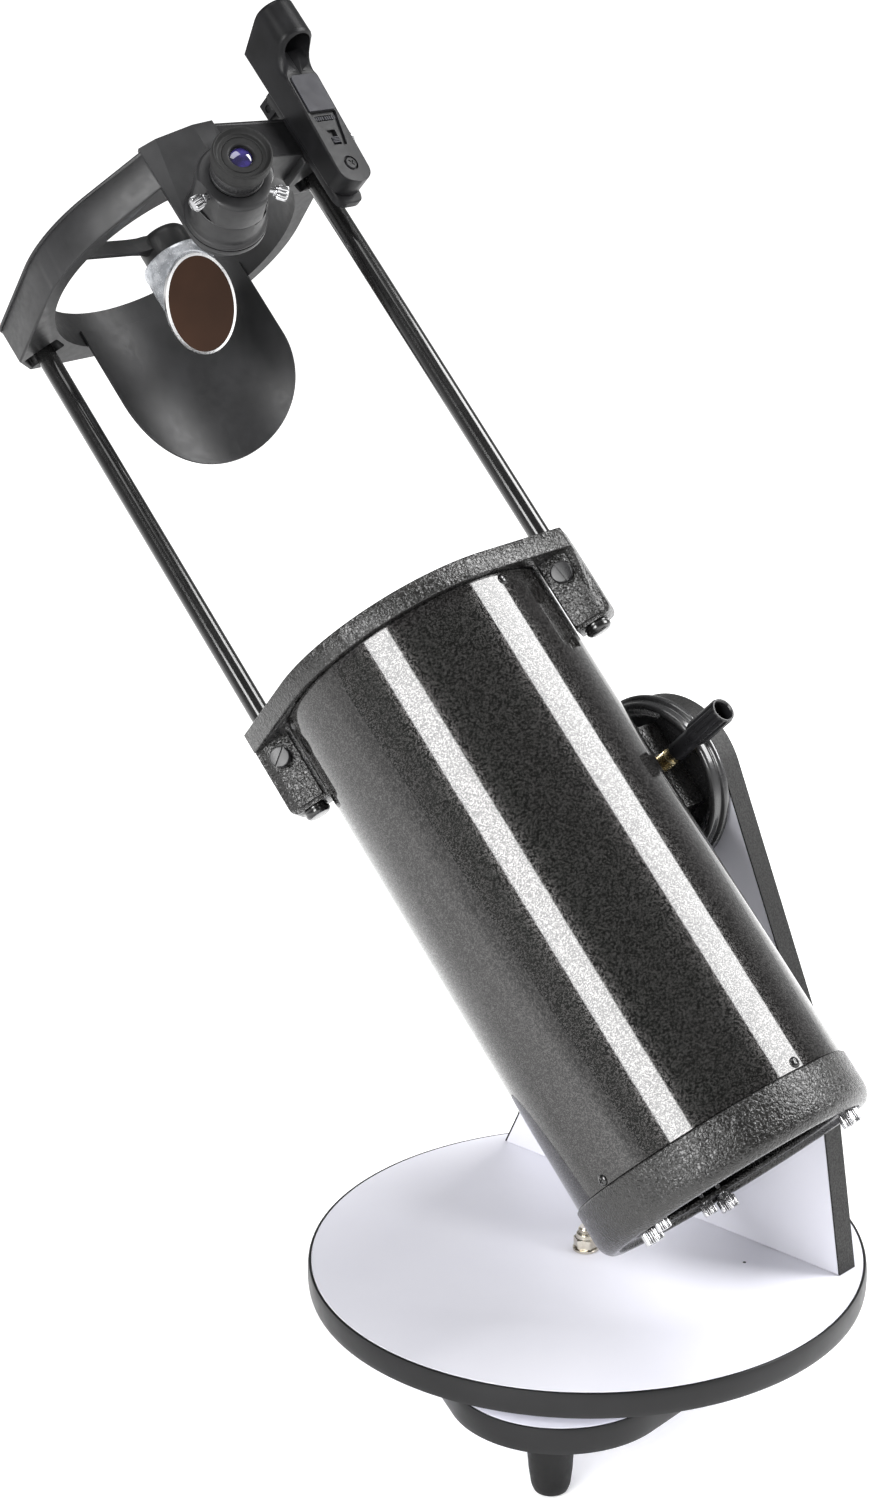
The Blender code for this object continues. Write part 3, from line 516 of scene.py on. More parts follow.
def build_ground():
    low, high = span("ground_board", BASE)
    reach = max((vert.co - AZIMUTH).xy.length for vert in frame["nodes"]["ground_board"].data.vertices)
    rings = []
    edge = 0.0008
    for inset, height in ((edge, low.z), (0, low.z + edge), (0, high.z - edge), (edge, high.z)):
        rings.append(lobed(reach - inset, LOBE_ROUNDING - inset, height))
    board = skin("ground_board_panel", rings, BASE)
    combine(board, lathe("pivot_hole", [(0.0054, low.z - 0.01), (0.0054, high.z + 0.01)], BASE, 48))
    fit(board, "white_laminate", "white_laminate", "ground", "ground_board")

    outer = max((vert.co - AZIMUTH).xy.length for vert in frame["nodes"]["ground_board_edge"].data.vertices)
    inside = reach + 0.0002
    section = [(0.0, high.z)] + moulding_section(low.z, high.z, outer - inside, 0.0019) + [(0.0, low.z)]
    rings = [lobed(inside + offset, LOBE_ROUNDING + 0.0002 + offset, height) for offset, height in section]
    band = skin("ground_board_moulding", rings, BASE, loop=True)
    fit(band, "edge_moulding", "black_edge", "ground", "ground_board_edge")

    for number in (1, 2, 3):
        build_foot(number)
        build_glide(number)
    build_pivot()


def build_foot(number):
    low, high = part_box(f"foot_{number}")
    matrix = Matrix.Translation(((low.x + high.x) / 2, (low.y + high.y) / 2, 0))
    profile = [(0, high.z, 0), (0.0146, high.z, 0.0012), (0.0149, 0.0340, 0.0010), (0.0136, 0.0150),
               (0.0122, 0.0045, 0.002), (0.0105, 0.0004, 0.0012), (0.0092, 0.0, 0.0006),
               (0.0044, 0.0, 0.0006),
               (0.0040, 0.0060, 0.0008), (0.0, 0.0060, 0)]
    foot = lathe(f"foot_{number}_rubber", profile, matrix, 72, corner=0.0008)
    fit(foot, "rubber", "black_rubber", "ground", f"foot_{number}")
    screw = lathe(f"foot_{number}_screw", [(0, 0.0072), (0.0030, 0.0072, 0.0004), (0.0036, 0.0061),
                                           (0, 0.0061)],
                  matrix, 32, corner=0.0003)
    fit(screw, "nickel", "nickel", "ground")


def build_glide(number):
    low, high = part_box(f"glide_pad_{number}")
    centre = (low + high) / 2
    radius = (high.x - low.x) / 2
    profile = [(0, high.z), (radius, high.z, 0.0012), (radius, low.z, 0.0006), (0, low.z)]
    pad = lathe(f"glide_pad_{number}_disc", profile, Matrix.Translation((centre.x, centre.y, 0)), 64,
                corner=0.0008)
    fit(pad, "pale_glide", "plastic_pad", "ground", f"glide_pad_{number}")


def hexagon(across, height):
    return circle(across / math.sqrt(3), height, 6)


def build_pivot():
    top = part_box("turntable_disc")[1].z
    washer_low, washer_high = (corner.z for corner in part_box("pivot_washer"))
    washer = lathe("pivot_washer_plate", [(0.0087, washer_high), (0.0087, washer_low), (0.0055, washer_low),
                                          (0.0055, washer_high)], BASE, 64, loop=True, corner=0.0005)
    fit(washer, "nickel", "nickel", "ground", "pivot_washer")
    nut_low, nut_high = (corner.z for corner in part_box("pivot_nut"))
    nut = prism("pivot_lock_nut", [point[:2] for point in hexagon(0.0142, 0)], nut_low, nut_low + 0.0068,
                BASE)
    dome = lathe("nut_chamfer", [(0, nut_low + 0.0068), (0.0068, nut_low + 0.0068),
                                 (0.0085, nut_low + 0.0058),
                                 (0.0085, nut_low + 0.0009), (0.0074, nut_low), (0, nut_low)], BASE, 48)
    combine(nut, dome, "INTERSECT")
    collar = [(0, nut_high), (0.0060, nut_high, 0.0007), (0.0066, nut_low + 0.0068, 0.0004),
              (0.0066, nut_low + 0.004),
              (0, nut_low + 0.004)]
    combine(nut, lathe("nut_collar", collar, BASE, 48, corner=0.0005), "UNION")
    combine(nut, plug("nut_bore", 0.0052, nut_high + 0.01, nut_low - 0.01, BASE, 48))
    soften(nut, 0.0002, 2)
    fit(nut, "nickel", "nickel", "ground", "pivot_nut")
    low, high = span("pivot_bolt", BASE)
    thread = []
    height = high.z - 0.0012
    while height > top - 0.0005:
        thread += [(0.0049, height), (0.0049, height - 0.0004), (0.0045, height - 0.0006),
                   (0.0045, height - 0.0009)]
        height -= 0.0011
    board_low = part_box("ground_board")[0].z
    profile = [(0, high.z), (0.0040, high.z)] + thread
    profile += [(0.0049, top - 0.003), (0.0049, board_low - 0.0004), (0.0105, board_low - 0.0004),
                (0.0105, low.z + 0.0026), (0.0060, low.z), (0, low.z)]
    fit(lathe("pivot_bolt_shank", profile, BASE, 48), "nickel", "nickel", "ground", "pivot_bolt")


# ---------------------------------------------------------------- the rotating disc and the side board
def build_turntable():
    low, high = span("turntable_disc", BASE)
    radius = high.x
    edge = 0.0006
    profile = [(radius - edge, high.z), (radius, high.z - edge), (radius, low.z + edge),
               (radius - edge, low.z),
               (0.0057, low.z), (0.0057, high.z)]
    disc = lathe("turntable_panel", profile, BASE, 256, loop=True)
    fit(disc, "white_laminate", "white_laminate", "turntable", "turntable_disc")

    reach = span("turntable_edge", BASE)[1].x
    inside = radius + 0.0002
    section = [(0.0, high.z)] + moulding_section(low.z, high.z, reach - inside, 0.0021) + [(0.0, low.z)]
    band = lathe("turntable_moulding", [(inside + offset, height) for offset, height in section], BASE, 256,
                 loop=True)
    fit(band, "edge_moulding", "black_edge", "turntable", "turntable_edge")
    build_side_board()
    build_board_plugs(high.z)


def board_outline(shift):
    """The side board from the altitude axis: straight slanted sides into a round crown."""
    low, high = span("side_board_edge", PIVOT)
    crown = high.y
    bottom = low.y
    front = (high.x, low.x)
    points = [(front[0] - shift * 1.05, bottom), (front[0] - 0.0126 - shift * 1.05, bottom + 0.0250)]
    for i in range(41):
        angle = math.radians(15 + 142 * i / 40)
        points.append(((crown - shift) * math.cos(angle), (crown - shift) * math.sin(angle)))
    points += [(front[1] + 0.0187 + shift * 1.05, bottom + 0.1250), (front[1] + shift * 1.05, bottom)]
    return points


def build_side_board():
    low, high = span("side_board", PIVOT)
    bore = circle(0.0055, 0, 40)
    panel = prism("side_board_panel", board_outline(0.0013), low.z, high.z, PIVOT,
                  [[point[:2] for point in bore]])
    soften(panel, 0.0003, 1)
    fit(panel, "white_laminate", "white_laminate", "turntable", "side_board")
    outline = board_outline(0.0) + board_outline(0.0011)[::-1]
    band = prism("side_board_band", outline, low.z, high.z, PIVOT)
    soften(band, 0.0005, 2, 50)
    fit(band, "pebbled_band", "black_edge", "turntable", "side_board_edge")


def build_board_plugs(top):
    """The ends of the two dowels that hold the side board, just showing on the disc beside it."""
    board_low, board_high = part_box("side_board")
    for number, part in enumerate((0.19, 0.62), 1):
        y = board_low.y + (board_high.y - board_low.y) * part
        matrix = Matrix.Translation((board_low.x - 0.0265, y, 0))
        plug = lathe(f"disc_pin_{number}", [(0, top + 0.0003), (0.0010, top + 0.0003, 0.0002),
                                            (0.0013, top - 0.0005),
                                            (0, top - 0.0005)], matrix, 24, corner=0.0002)
        fit(plug, "smooth_plastic", "black_edge", "turntable")


# ---------------------------------------------------------------- the altitude bearing
def build_altitude():
    low, high = span("altitude_disc", PIVOT)
    radius = high.y
    back = high.z
    dish = [(radius, back, 0.0008), (radius, back - 0.0028, 0.0016), (0.0560, back - 0.0042, 0.0010),
            (0.0545, back - 0.0048, 0.0008), (0.0538, low.z + 0.0012, 0.0016), (0.0515, low.z, 0.0012),
            (0.0496, low.z + 0.0004, 0.0012), (0.0484, low.z + 0.0026, 0.0010),
            (0.0452, back - 0.0052, 0.0014),
            (0.0056, back - 0.0052), (0.0056, back)]
    disc = lathe("altitude_dish", dish, PIVOT, 192, loop=True, corner=0.0006)
    fit(disc, "gloss_dish", "black_gloss", "altitude_hub", "altitude_disc")

    washer_low, washer_high = span("friction_washer", PIVOT)
    washer = lathe("friction_ring", [(0.0298, washer_high.z), (0.0298, washer_low.z), (0.0055, washer_low.z),
                                     (0.0055, washer_high.z)], PIVOT, 96, loop=True, corner=0.0004)
    fit(washer, "pale_glide", "plastic_pad", "turntable", "friction_washer")
    outer_low, outer_high = span("altitude_washer", PIVOT)
    plate = lathe("outer_washer", [(0.0129, outer_high.z), (0.0129, outer_low.z), (0.0055, outer_low.z),
                                   (0.0055, outer_high.z)], PIVOT, 72, loop=True, corner=0.0005)
    fit(plate, "nickel", "nickel", "turntable", "altitude_washer")
    build_tension_knob()
    build_saddle()

    bolt_low, bolt_high = span("altitude_bolt", PIVOT)
    profile = [(0, bolt_high.z), (0.0040, bolt_high.z, 0.0004), (0.0049, bolt_high.z - 0.0010),
               (0.0049, back - 0.0054),
               (0.0084, back - 0.0054, 0.0003), (0.0084, bolt_low.z, 0.0010), (0.0048, bolt_low.z),
               (0.0044, bolt_low.z + 0.0030), (0, bolt_low.z + 0.0030)]
    fit(lathe("altitude_bolt_shank", profile, PIVOT, 48, corner=0.0003), "nickel", "nickel", "altitude_hub",
        "altitude_bolt")


def build_tension_knob():
    """A five-lobed hand knob outside of the board."""
    low, high = span("altitude_tension_knob", PIVOT)
    radius = high.y
    outline = []
    for i in range(180):
        angle = 2 * math.pi * i / 180
        reach = radius - 0.0036 * (0.5 + 0.5 * math.cos(5 * angle)) ** 2.2
        outline.append((reach * math.cos(angle), reach * math.sin(angle)))
    bore = [point[:2] for point in circle(0.0055, 0, 40)]
    knob = prism("tension_knob", outline, low.z + 0.0018, low.z + 0.0130, PIVOT, [bore])
    soften(knob, 0.0028, 4, 50)
    hub = lathe("tension_knob_hub", [(0.0128, high.z, 0.0025), (0.0138, low.z + 0.0125, 0.0), (0.0138, low.z),
                                     (0.0055, low.z), (0.0055, high.z - 0.0005)], PIVOT, 96, loop=True,
                corner=0.0006)
    combine(knob, hub, "UNION")
    fit(knob, "smooth_plastic", "black_satin", "altitude_tension", "altitude_tension_knob")


def dovetail_section(clearance):
    return [(-0.0176 - clearance, 0), (0.0176 + clearance, 0), (0.0215 + clearance, 0.0120 + clearance),
            (-0.0215 - clearance, 0.0120 + clearance)]


def build_saddle():
    """The clamp under the tube: its channel holds the dovetail bar, and its jaw takes the brass stud."""
    low, high = span("dovetail_saddle", OPTICS)
    face = span("dovetail_bar", OPTICS)[0].x
    saddle = block("dovetail_saddle_casting", low, high, OPTICS)
    turn = OPTICS @ Matrix.Translation((face, 0, 0)) @ Matrix.Rotation(math.radians(-90), 4, "Z")
    combine(saddle, prism("channel", dovetail_section(0.0005), low.z - 0.01, high.z + 0.01, turn))
    across = OPTICS @ Matrix.Rotation(math.radians(90), 4, "Y")
    combine(saddle, plug("bolt_bore", 0.0093, high.x + 0.01, 0.1136, across, 48))
    stud = knob_frame()
    combine(saddle, plug("stud_bore", 0.0042, 0.0500, 0.0120, stud, 40))
    soften(saddle, 0.0012, 3)
    fit(saddle, "leather_casting", "black_casting", "altitude_hub", "dovetail_saddle")
    bar_low, bar_high = span("dovetail_bar", OPTICS)
    bar = prism("dovetail_rail", dovetail_section(0), bar_low.z, bar_high.z, turn)
    soften(bar, 0.0006, 2)
    fit(bar, "satin_plastic", "black_satin", "tube", "dovetail_bar")


def knob_frame():
    """Own Z runs up the dovetail knob's stud, with zero level with the optical axis."""
    axis = axis_of("dovetail_knob_turn")
    point = point_of("dovetail_knob_turn")
    return axes_at(point - axis * (point - TUBE_CENTRE).dot(axis), WORLD_X, axis)


def build_dovetail_knob():
    matrix = knob_frame()
    thread = []
    height = 0.0393
    while height > 0.0312:
        thread += [(0.0056, height), (0.0056, height - 0.0006), (0.0047, height - 0.0010),
                   (0.0047, height - 0.0014)]
        height -= 0.0017
    profile = [(0, 0.0520), (0.0042, 0.0520), (0.0042, 0.0400)] + thread
    profile += [(0.0056, 0.0308), (0.0056, 0.0304), (0.0036, 0.0302), (0.0036, 0.0235), (0, 0.0235)]
    fit(lathe("dovetail_stud", profile, matrix, 64), "brass", "brass", "dovetail_clamp", "dovetail_knob_stud")

    neck = lathe("knob_neck", [(0, 0.0700), (0.0070, 0.0700), (0.0064, 0.0660, 0.002),
                               (0.0060, 0.0500, 0.002),
                               (0.0062, 0.0450, 0.0008), (0.0046, 0.0450), (0.0046, 0.0523), (0, 0.0523)],
                 matrix, 64, corner=0.0006)
    grip_rings = []
    for reach, depth, height in ((0.0072, 0.0, 0.0655), (0.0084, 0.0006, 0.0690), (0.0085, 0.0010, 0.0705),
                                 (0.0085, 0.0010, 0.0940), (0.0084, 0.0004, 0.0955), (0.0078, 0.0, 0.0965),
                                 (0.0068, 0.0, 0.0965), (0.0061, 0.0, 0.0955), (0.0060, 0.0, 0.0800)):
        grip_rings.append(ribbed(reach, depth, 14, height, 8))
    knob = skin("dovetail_knob_grip", grip_rings, matrix)
    combine(knob, neck, "UNION")
    fit(knob, "smooth_plastic", "black_satin", "dovetail_clamp", "dovetail_knob")


# ---------------------------------------------------------------- the lower tube
LUG_HALF = 0.0125                   # half the thickness of a lug, square to the plane of the rods


def build_tube():
    low, high = span("main_tube", OPTICS)
    radius = high.x
    inner = radius - 0.0012
    wall = [(radius, high.z - 0.0003), (radius, low.z + 0.0003), (radius - 0.0003, low.z), (inner, low.z),
            (inner, high.z), (radius - 0.0003, high.z)]
    tube = lathe("tube_shell", wall, OPTICS, 256, loop=True)
    fit(tube, "tube_enamel", "black_gloss", "tube", "main_tube")
    liner = [(inner - 0.0001, high.z - 0.0090), (inner - 0.0001, low.z + 0.0005),
             (inner - 0.0004, low.z + 0.0005),
             (inner - 0.0004, high.z - 0.0090)]
    fit(lathe("tube_lining", liner, OPTICS, 192, loop=True), "tube_inside", "black_gloss", "tube")
    build_front_ring()
    build_rear_cap()
    build_tube_screws(radius, low.z, high.z)


def ear_points(half_width, reach, radius, extra=()):
    """The outline of a ring with an ear over each rod, drawn tight like a belt around them."""
    points = [point[:2] for point in circle(radius, 0, 180)]
    for side in (1, -1):
        points += [(half_width, side * reach), (-half_width, side * reach)]
    return hull(points + list(extra))


def rod_places():
    """Each rod's place in the rods' own frame, and its sign along the plane."""
    for number in (1, 2):
        place = RODS.inverted() @ point_of(f"rod_lock_turn_{number}")
        yield number, place.y, math.copysign(1, place.y)


def build_front_ring():
    low, high = span("front_ring", RODS)
    tube_front = span("main_tube", OPTICS)[1].z
    outline = ear_points(LUG_HALF, high.y, 0.0970)
    inner = 0.0887
    bore = [point[:2] for point in circle(inner, 0, 160)]
    ring = prism("front_ring_casting", outline, tube_front + 0.0004, high.z, RODS, [bore])
    soften(ring, 0.0010, 3, 30)
    for number, place, side in rod_places():
        near, far = sorted((side * 0.0925, side * high.y))
        web = prism(f"web_{number}", rounded([(near, low.z, 0.006 if side < 0 else 0.0008),
                                              (far, low.z, 0.006 if side > 0 else 0.0008),
                                              (far, tube_front + 0.003, 0), (near, tube_front + 0.003, 0)],
                                              0.001,
                                             steps=6),
                    0.0008 - LUG_HALF, LUG_HALF - 0.0036, rod_side_frame())
        combine(ring, soften(web, 0.0008, 2, 40), "UNION")
        near, far = sorted((side * 0.0936, side * 0.1118))
        boss = prism(f"boss_{number}", rounded([(near, low.z + 0.0022), (far, low.z + 0.0022),
                                                (far, tube_front + 0.001), (near, tube_front + 0.001)],
                                                0.0016),
                     0.0, LUG_HALF, rod_side_frame())
        combine(ring, soften(boss, 0.0009, 3, 40), "UNION")
        combine(ring, plug(f"rod_bore_{number}", 0.0072, high.z + 0.02, low.z - 0.02, RODS, 48,
                           centre=(0, place)))
        lock = point_of(f"rod_lock_turn_{number}")
        screw = axes_at(lock, SKYWARD, axis_of(f"rod_lock_turn_{number}"))
        combine(ring, plug(f"lock_bore_{number}", 0.0035, 0.01, -0.012, screw, 32))
    spigot = [(0.0896, tube_front + 0.0010), (0.0896, tube_front - 0.0080), (inner, tube_front - 0.0080),
              (inner, tube_front + 0.0010)]
    fit(lathe("front_ring_spigot", spigot, OPTICS, 160, loop=True, corner=0.0003), "leather_casting",
        "black_casting", "tube")
    fit(ring, "leather_casting", "black_casting", "tube", "front_ring")


def rod_side_frame():
    """Own X along the rods' plane, own Y up the tube, own Z out of the plane towards the lock screws."""
    return RODS @ Matrix(((0, 0, 1, 0), (1, 0, 0, 0), (0, 1, 0, 0), (0, 0, 0, 1)))


def build_rod_locks():
    """Round knurled-edge screws with a straight slot, one on each lug."""
    for number in (1, 2):
        matrix = axes_at(point_of(f"rod_lock_turn_{number}"), SKYWARD, axis_of(f"rod_lock_turn_{number}"))
        low, high = span(f"rod_lock_screw_{number}", matrix)
        radius = high.x
        profile = [(0, high.z, 0), (radius - 0.0004, high.z, 0.0006), (radius, high.z - 0.0012, 0.0004),
                   (radius, high.z - 0.0046, 0.0004), (radius - 0.0008, high.z - 0.0052),
                   (0.0034, high.z - 0.0052),
                   (0.0032, low.z), (0, low.z)]
        head = lathe(f"rod_lock_{number}_head", profile, matrix, 72, corner=0.0004)
        slot = block(f"rod_lock_slot_{number}", (-0.0200, -0.0007, high.z - 0.0013),
                     (0.0200, 0.0007, high.z + 0.01),
                     matrix @ Matrix.Rotation(math.radians(8 if number == 1 else -52), 4, "Z"))
        combine(head, slot)
        soften(head, 0.00015, 1, 50)
        fit(head, "smooth_plastic", "black_satin", f"rod_lock_{number}", f"rod_lock_screw_{number}")


def build_rear_cap():
    low, high = span("rear_cap", OPTICS)
    radius = high.x
    rear = low.z
    profile = [(radius - 0.0006, high.z, 0.0005), (radius, high.z - 0.0010, 0.0004),
               (radius, rear + 0.0095, 0.004),
               (radius - 0.0014, rear + 0.0040, 0.003), (radius - 0.0052, rear + 0.0004, 0.002),
               (radius - 0.0076, rear, 0.0016), (0.0832, rear + 0.0004, 0.0008),
               (0.0826, rear + 0.0034, 0.001),
               (0.0722, rear + 0.0034, 0.0006), (0.0722, rear + 0.0062, 0.0006),
               (0.0888, rear + 0.0066, 0.001),
               (0.0888, high.z, 0.0003)]
    cap = lathe("rear_cap_casting", profile, OPTICS, 256, loop=True, corner=0.0006)
    for number in (1, 2, 3):
        place = RODS.inverted() @ point_of(f"collimation_turn_{number}")
        for turn, radius_of_hole in ((0, 0.0028), (9.0, 0.0021)):
            centre = Matrix.Rotation(math.radians(turn), 2) @ place.xy
            combine(cap, plug("hole", radius_of_hole, rear + 0.02, rear - 0.02, RODS, 32,
                              centre=tuple(centre)))
    fit(cap, "leather_casting", "black_casting", "tube", "rear_cap")


def build_tube_screws(radius, rear, front):
    """Small cross-headed screws around both ends of the tube."""
    places = [(angle, rear + 0.0040) for angle in (92, 182, 272, 2)]
    places += [(angle, front - 0.0050) for angle in (87, 207, -33)]
    for number, (angle, station) in enumerate(places, 1):
        out = OPTICS.to_3x3() @ Vector((math.cos(math.radians(angle)), -math.sin(math.radians(angle)), 0))
        matrix = axes_at(TUBE_CENTRE + SKYWARD * station + out * radius, SKYWARD, out)
        head = lathe(f"tube_screw_{number}", [(0, 0.0018, 0), (0.0022, 0.0016, 0.001), (0.0034, 0.0004,
                                                                                        0.0008),
                                              (0.0034, -0.0001), (0, -0.0001)], matrix, 40, corner=0.0005)
        for turn in (20, 110):
            combine(head, block("cross", (-0.0018, -0.00035, 0.0008), (0.0018, 0.00035, 0.0040),
                                matrix @ Matrix.Rotation(math.radians(turn), 4, "Z")))
        fit(head, "rod_gloss", "black_satin", "tube")


def build_mirror_cell():
    low, high = span("mirror_cell", OPTICS)
    face = high.z - 0.0290
    rear = low.z
    plate = lathe("mirror_cell_plate", [(0.0850, face, 0.001), (0.0850, rear, 0.001), (0.0250, rear, 0.001),
                                        (0.0250, face, 0.001)], OPTICS, 160, loop=True, corner=0.0008)
    for number in (1, 2, 3):
        place = RODS.inverted() @ point_of(f"collimation_turn_{number}")
        angle = math.atan2(place.y, place.x)
        for turn in (0, math.radians(60)):
            combine(plate, pocket(angle + turn, rear), "DIFFERENCE")
        matrix = RODS @ Matrix.Rotation(angle + math.radians(60), 4, "Z")
        clip = block("clip", (0.0766, -0.0060, face - 0.0010), (0.0803, 0.0060, face + 0.0288), matrix)
        combine(clip, block("lip", (0.0725, -0.0060, face + 0.0276), (0.0803, 0.0060, face + 0.0288),
                            matrix), "UNION")
        combine(plate, soften(clip, 0.0005, 2), "UNION")
        combine(plate, plug("cell_bore", 0.0028, face + 0.01, rear - 0.01, RODS, 32,
                            centre=(place.x, place.y)))
    fit(plate, "leather_casting", "black_casting", "tube", "mirror_cell")

    mirror_low, mirror_high = span("primary_mirror", OPTICS)
    radius = mirror_high.x
    depth = 0.0015
    profile = [(radius - 0.0008, mirror_low.z), (radius, mirror_low.z + 0.0008),
               (radius, mirror_high.z - 0.0010),
               (radius - 0.0010, mirror_high.z)]
    steps = 14
    for i in range(steps + 1):
        reach = (radius - 0.0010) * (1 - i / steps)
        profile.append((reach, mirror_high.z - depth + depth * (reach / radius) ** 2))
    mirror = lathe("main_mirror_glass", [(0, mirror_low.z)] + profile, OPTICS, 192)
    fit(mirror, "main_mirror", "mirror", "tube", "primary_mirror")


def pocket(angle, rear):
    """A shallow casting pocket in the back of the mirror cell."""
    outline = rounded([(0.0340, -0.0085), (0.0640, -0.0145), (0.0640, 0.0145), (0.0340, 0.0085)], 0.004)
    return prism("pocket", outline, rear - 0.0100, rear + 0.0024, RODS @ Matrix.Rotation(angle, 4, "Z"))


def build_collimation():
    """Chrome thumb nuts with straight ribs, each with a smaller locking screw beside it."""
    for number in (1, 2, 3):
        matrix = axes_at(point_of(f"collimation_turn_{number}"), axis_of("rod_lock_turn_1"), SKYWARD)
        low, high = span(f"collimation_knob_{number}", matrix)
        rings = []
        for reach, depth, height in ((0.0022, 0, high.z), (0.0022, 0, low.z + 0.0110),
                                     (0.0044, 0, low.z + 0.0108),
                                     (0.0046, 0, low.z + 0.0082), (0.0058, 0, low.z + 0.0078),
                                     (0.0062, 0.0006, low.z + 0.0070), (0.0062, 0.0006, low.z + 0.0010),
                                     (0.0058, 0, low.z + 0.0002), (0.0054, 0, low.z), (0.0030, 0, low.z),
                                     (0.0027, 0, low.z + 0.0010)):
            rings.append(ribbed(reach, depth, 24, height, 6))
        fit(skin(f"collimation_nut_{number}", rings, matrix), "chrome", "chrome", f"collimation_{number}",
            f"collimation_knob_{number}")
        place = (RODS.inverted() @ point_of(f"collimation_turn_{number}")).xy
        centre = Matrix.Rotation(math.radians(9.0), 2) @ place
        rear = span("rear_cap", OPTICS)[0].z
        screw = RODS @ Matrix.Translation((centre.x, centre.y, rear))
        rings = []
        for reach, depth, height in ((0.0019, 0, 0.0100), (0.0019, 0, 0.0026), (0.0042, 0, 0.0024),
                                     (0.0046, 0.0005, 0.0016), (0.0046, 0.0005, -0.0044),
                                     (0.0042, 0, -0.0052),
                                     (0.0022, 0, -0.0052), (0.0018, 0, -0.0044)):
            rings.append(ribbed(reach, depth, 18, height, 6))
        fit(skin(f"collimation_lock_{number}", rings, screw), "chrome", "chrome", "tube")


# ---------------------------------------------------------------- the sliding upper cage
def build_rods():
    for name in ("right_rod", "left_rod"):
        low, high = span(name, RODS)
        centre = (0, (low.y + high.y) / 2)
        stop = low.z + 0.0060
        profile = [(0, high.z), (0.0068, high.z, 0.0006), (0.0068, stop - 0.0002),
                   (0.0084, stop - 0.0004, 0.0003),
                   (0.0084, stop - 0.0016, 0.0002), (0.0079, stop - 0.0019, 0.0002),
                   (0.0079, stop - 0.0023, 0.0002),
                   (0.0084, stop - 0.0026, 0.0002), (0.0084, stop - 0.0044, 0.0010), (0.0068, low.z, 0.0008),
                   (0, low.z)]
        rod = lathe(f"{name}_tube", profile, RODS, 72, corner=0.0003, centre=centre)
        fit(rod, "rod_gloss", "black_gloss", "upper_cage", name)


def in_rods(matrix, x, y):
    point = RODS.inverted() @ (matrix @ Vector((x, y, 0)))
    return point.x, point.y


def build_upper_ring():
    """The upper ring: a band with a lip on top, a hollow ear over each rod and two mounting pads."""
    high = span("upper_ring", CAGE)[1]
    ear_high = span("upper_ring", RODS)[1]
    ring_low = high.z - 0.0308
    ring_high = high.z - 0.0040
    pad_half = 0.0262
    corners = [in_rods(CAGE, high.x - 0.0004, side * pad_half) for side in (1, -1)]
    ring = prism("upper_ring_band", ear_points(0.0100, ear_high.y - 0.0009, 0.0986, corners),
                 ring_low - 0.0008,
                 ring_high - 0.0012, RODS)
    soften(ring, 0.0012, 3, 30)
    lip = prism("upper_ring_lip", ear_points(0.0110, ear_high.y, 0.0999, corners), ring_high - 0.0022,
                ring_high, RODS)
    combine(ring, soften(lip, 0.0007, 3, 30), "UNION")
    combine(ring, focuser_pad(high.x, pad_half, high.z, ring_low), "UNION")
    foot_low = span("finder_base", FINDER)[1].y - 0.0062
    mount = block("finder_mount", (-0.0113, 0.0660, ring_low - 0.0060),
                  (0.0113, foot_low - 0.0003, ring_high - 0.0042), FINDER)
    combine(ring, soften(mount, 0.0008, 2, 40), "UNION")
    combine(ring, plug("clear_bore", 0.0882, high.z + 0.02, 0.3600, OPTICS, 160))
    combine(ring, plug("focuser_bore", 0.0236, 0.1300, 0.0750, FOCUS, 64))
    rod_top = span("right_rod", RODS)[1].z + 0.0003
    for number, place, side in rod_places():
        near, far = sorted((side * 0.0915, side * (ear_high.y - 0.0032)))
        hollow = prism(f"ear_hollow_{number}", rounded([(-0.0078, near), (0.0078, near), (0.0078, far),
                                                        (-0.0078, far)], 0.002), ring_low - 0.0200,
                       rod_top - 0.0060, RODS)
        combine(ring, hollow)
        collar = plug(f"rod_collar_{number}", 0.0090, rod_top + 0.0010, rod_top - 0.0120, RODS, 48,
                      centre=(0, place))
        combine(ring, collar, "UNION")
        socket = [(0, rod_top), (0.0072, rod_top), (0.0072, ring_low - 0.02), (0, ring_low - 0.02)]
        combine(ring, lathe(f"socket_{number}", socket, RODS, 48, centre=(0, place)))
    fit(ring, "satin_plastic", "black_satin", "upper_cage", "upper_ring")


def focuser_pad(face, half, top, root):
    """The flat plate under the focuser: straight sides, and a round lower end around the focuser's axis."""
    outline = [(top - FOCUS_STATION - 0.0020, -half), (top - FOCUS_STATION, -half * 0.5),
               (top - FOCUS_STATION, half * 0.5), (top - FOCUS_STATION - 0.0020, half)]
    for i in range(41):
        angle = math.radians(90 + 180 * i / 40)
        outline.append((half * math.cos(angle), half * math.sin(angle)))
    plate = prism("focuser_pad", outline, face - 0.0036, face, FOCUS)
    soften(plate, 0.0009, 3, 40)
    base = block("focuser_pad_root", (root - FOCUS_STATION, 0.0004 - half, face - 0.0130),
                 (top - FOCUS_STATION - 0.0024, half - 0.0004, face - 0.0015), FOCUS)
    return combine(plate, base, "UNION")


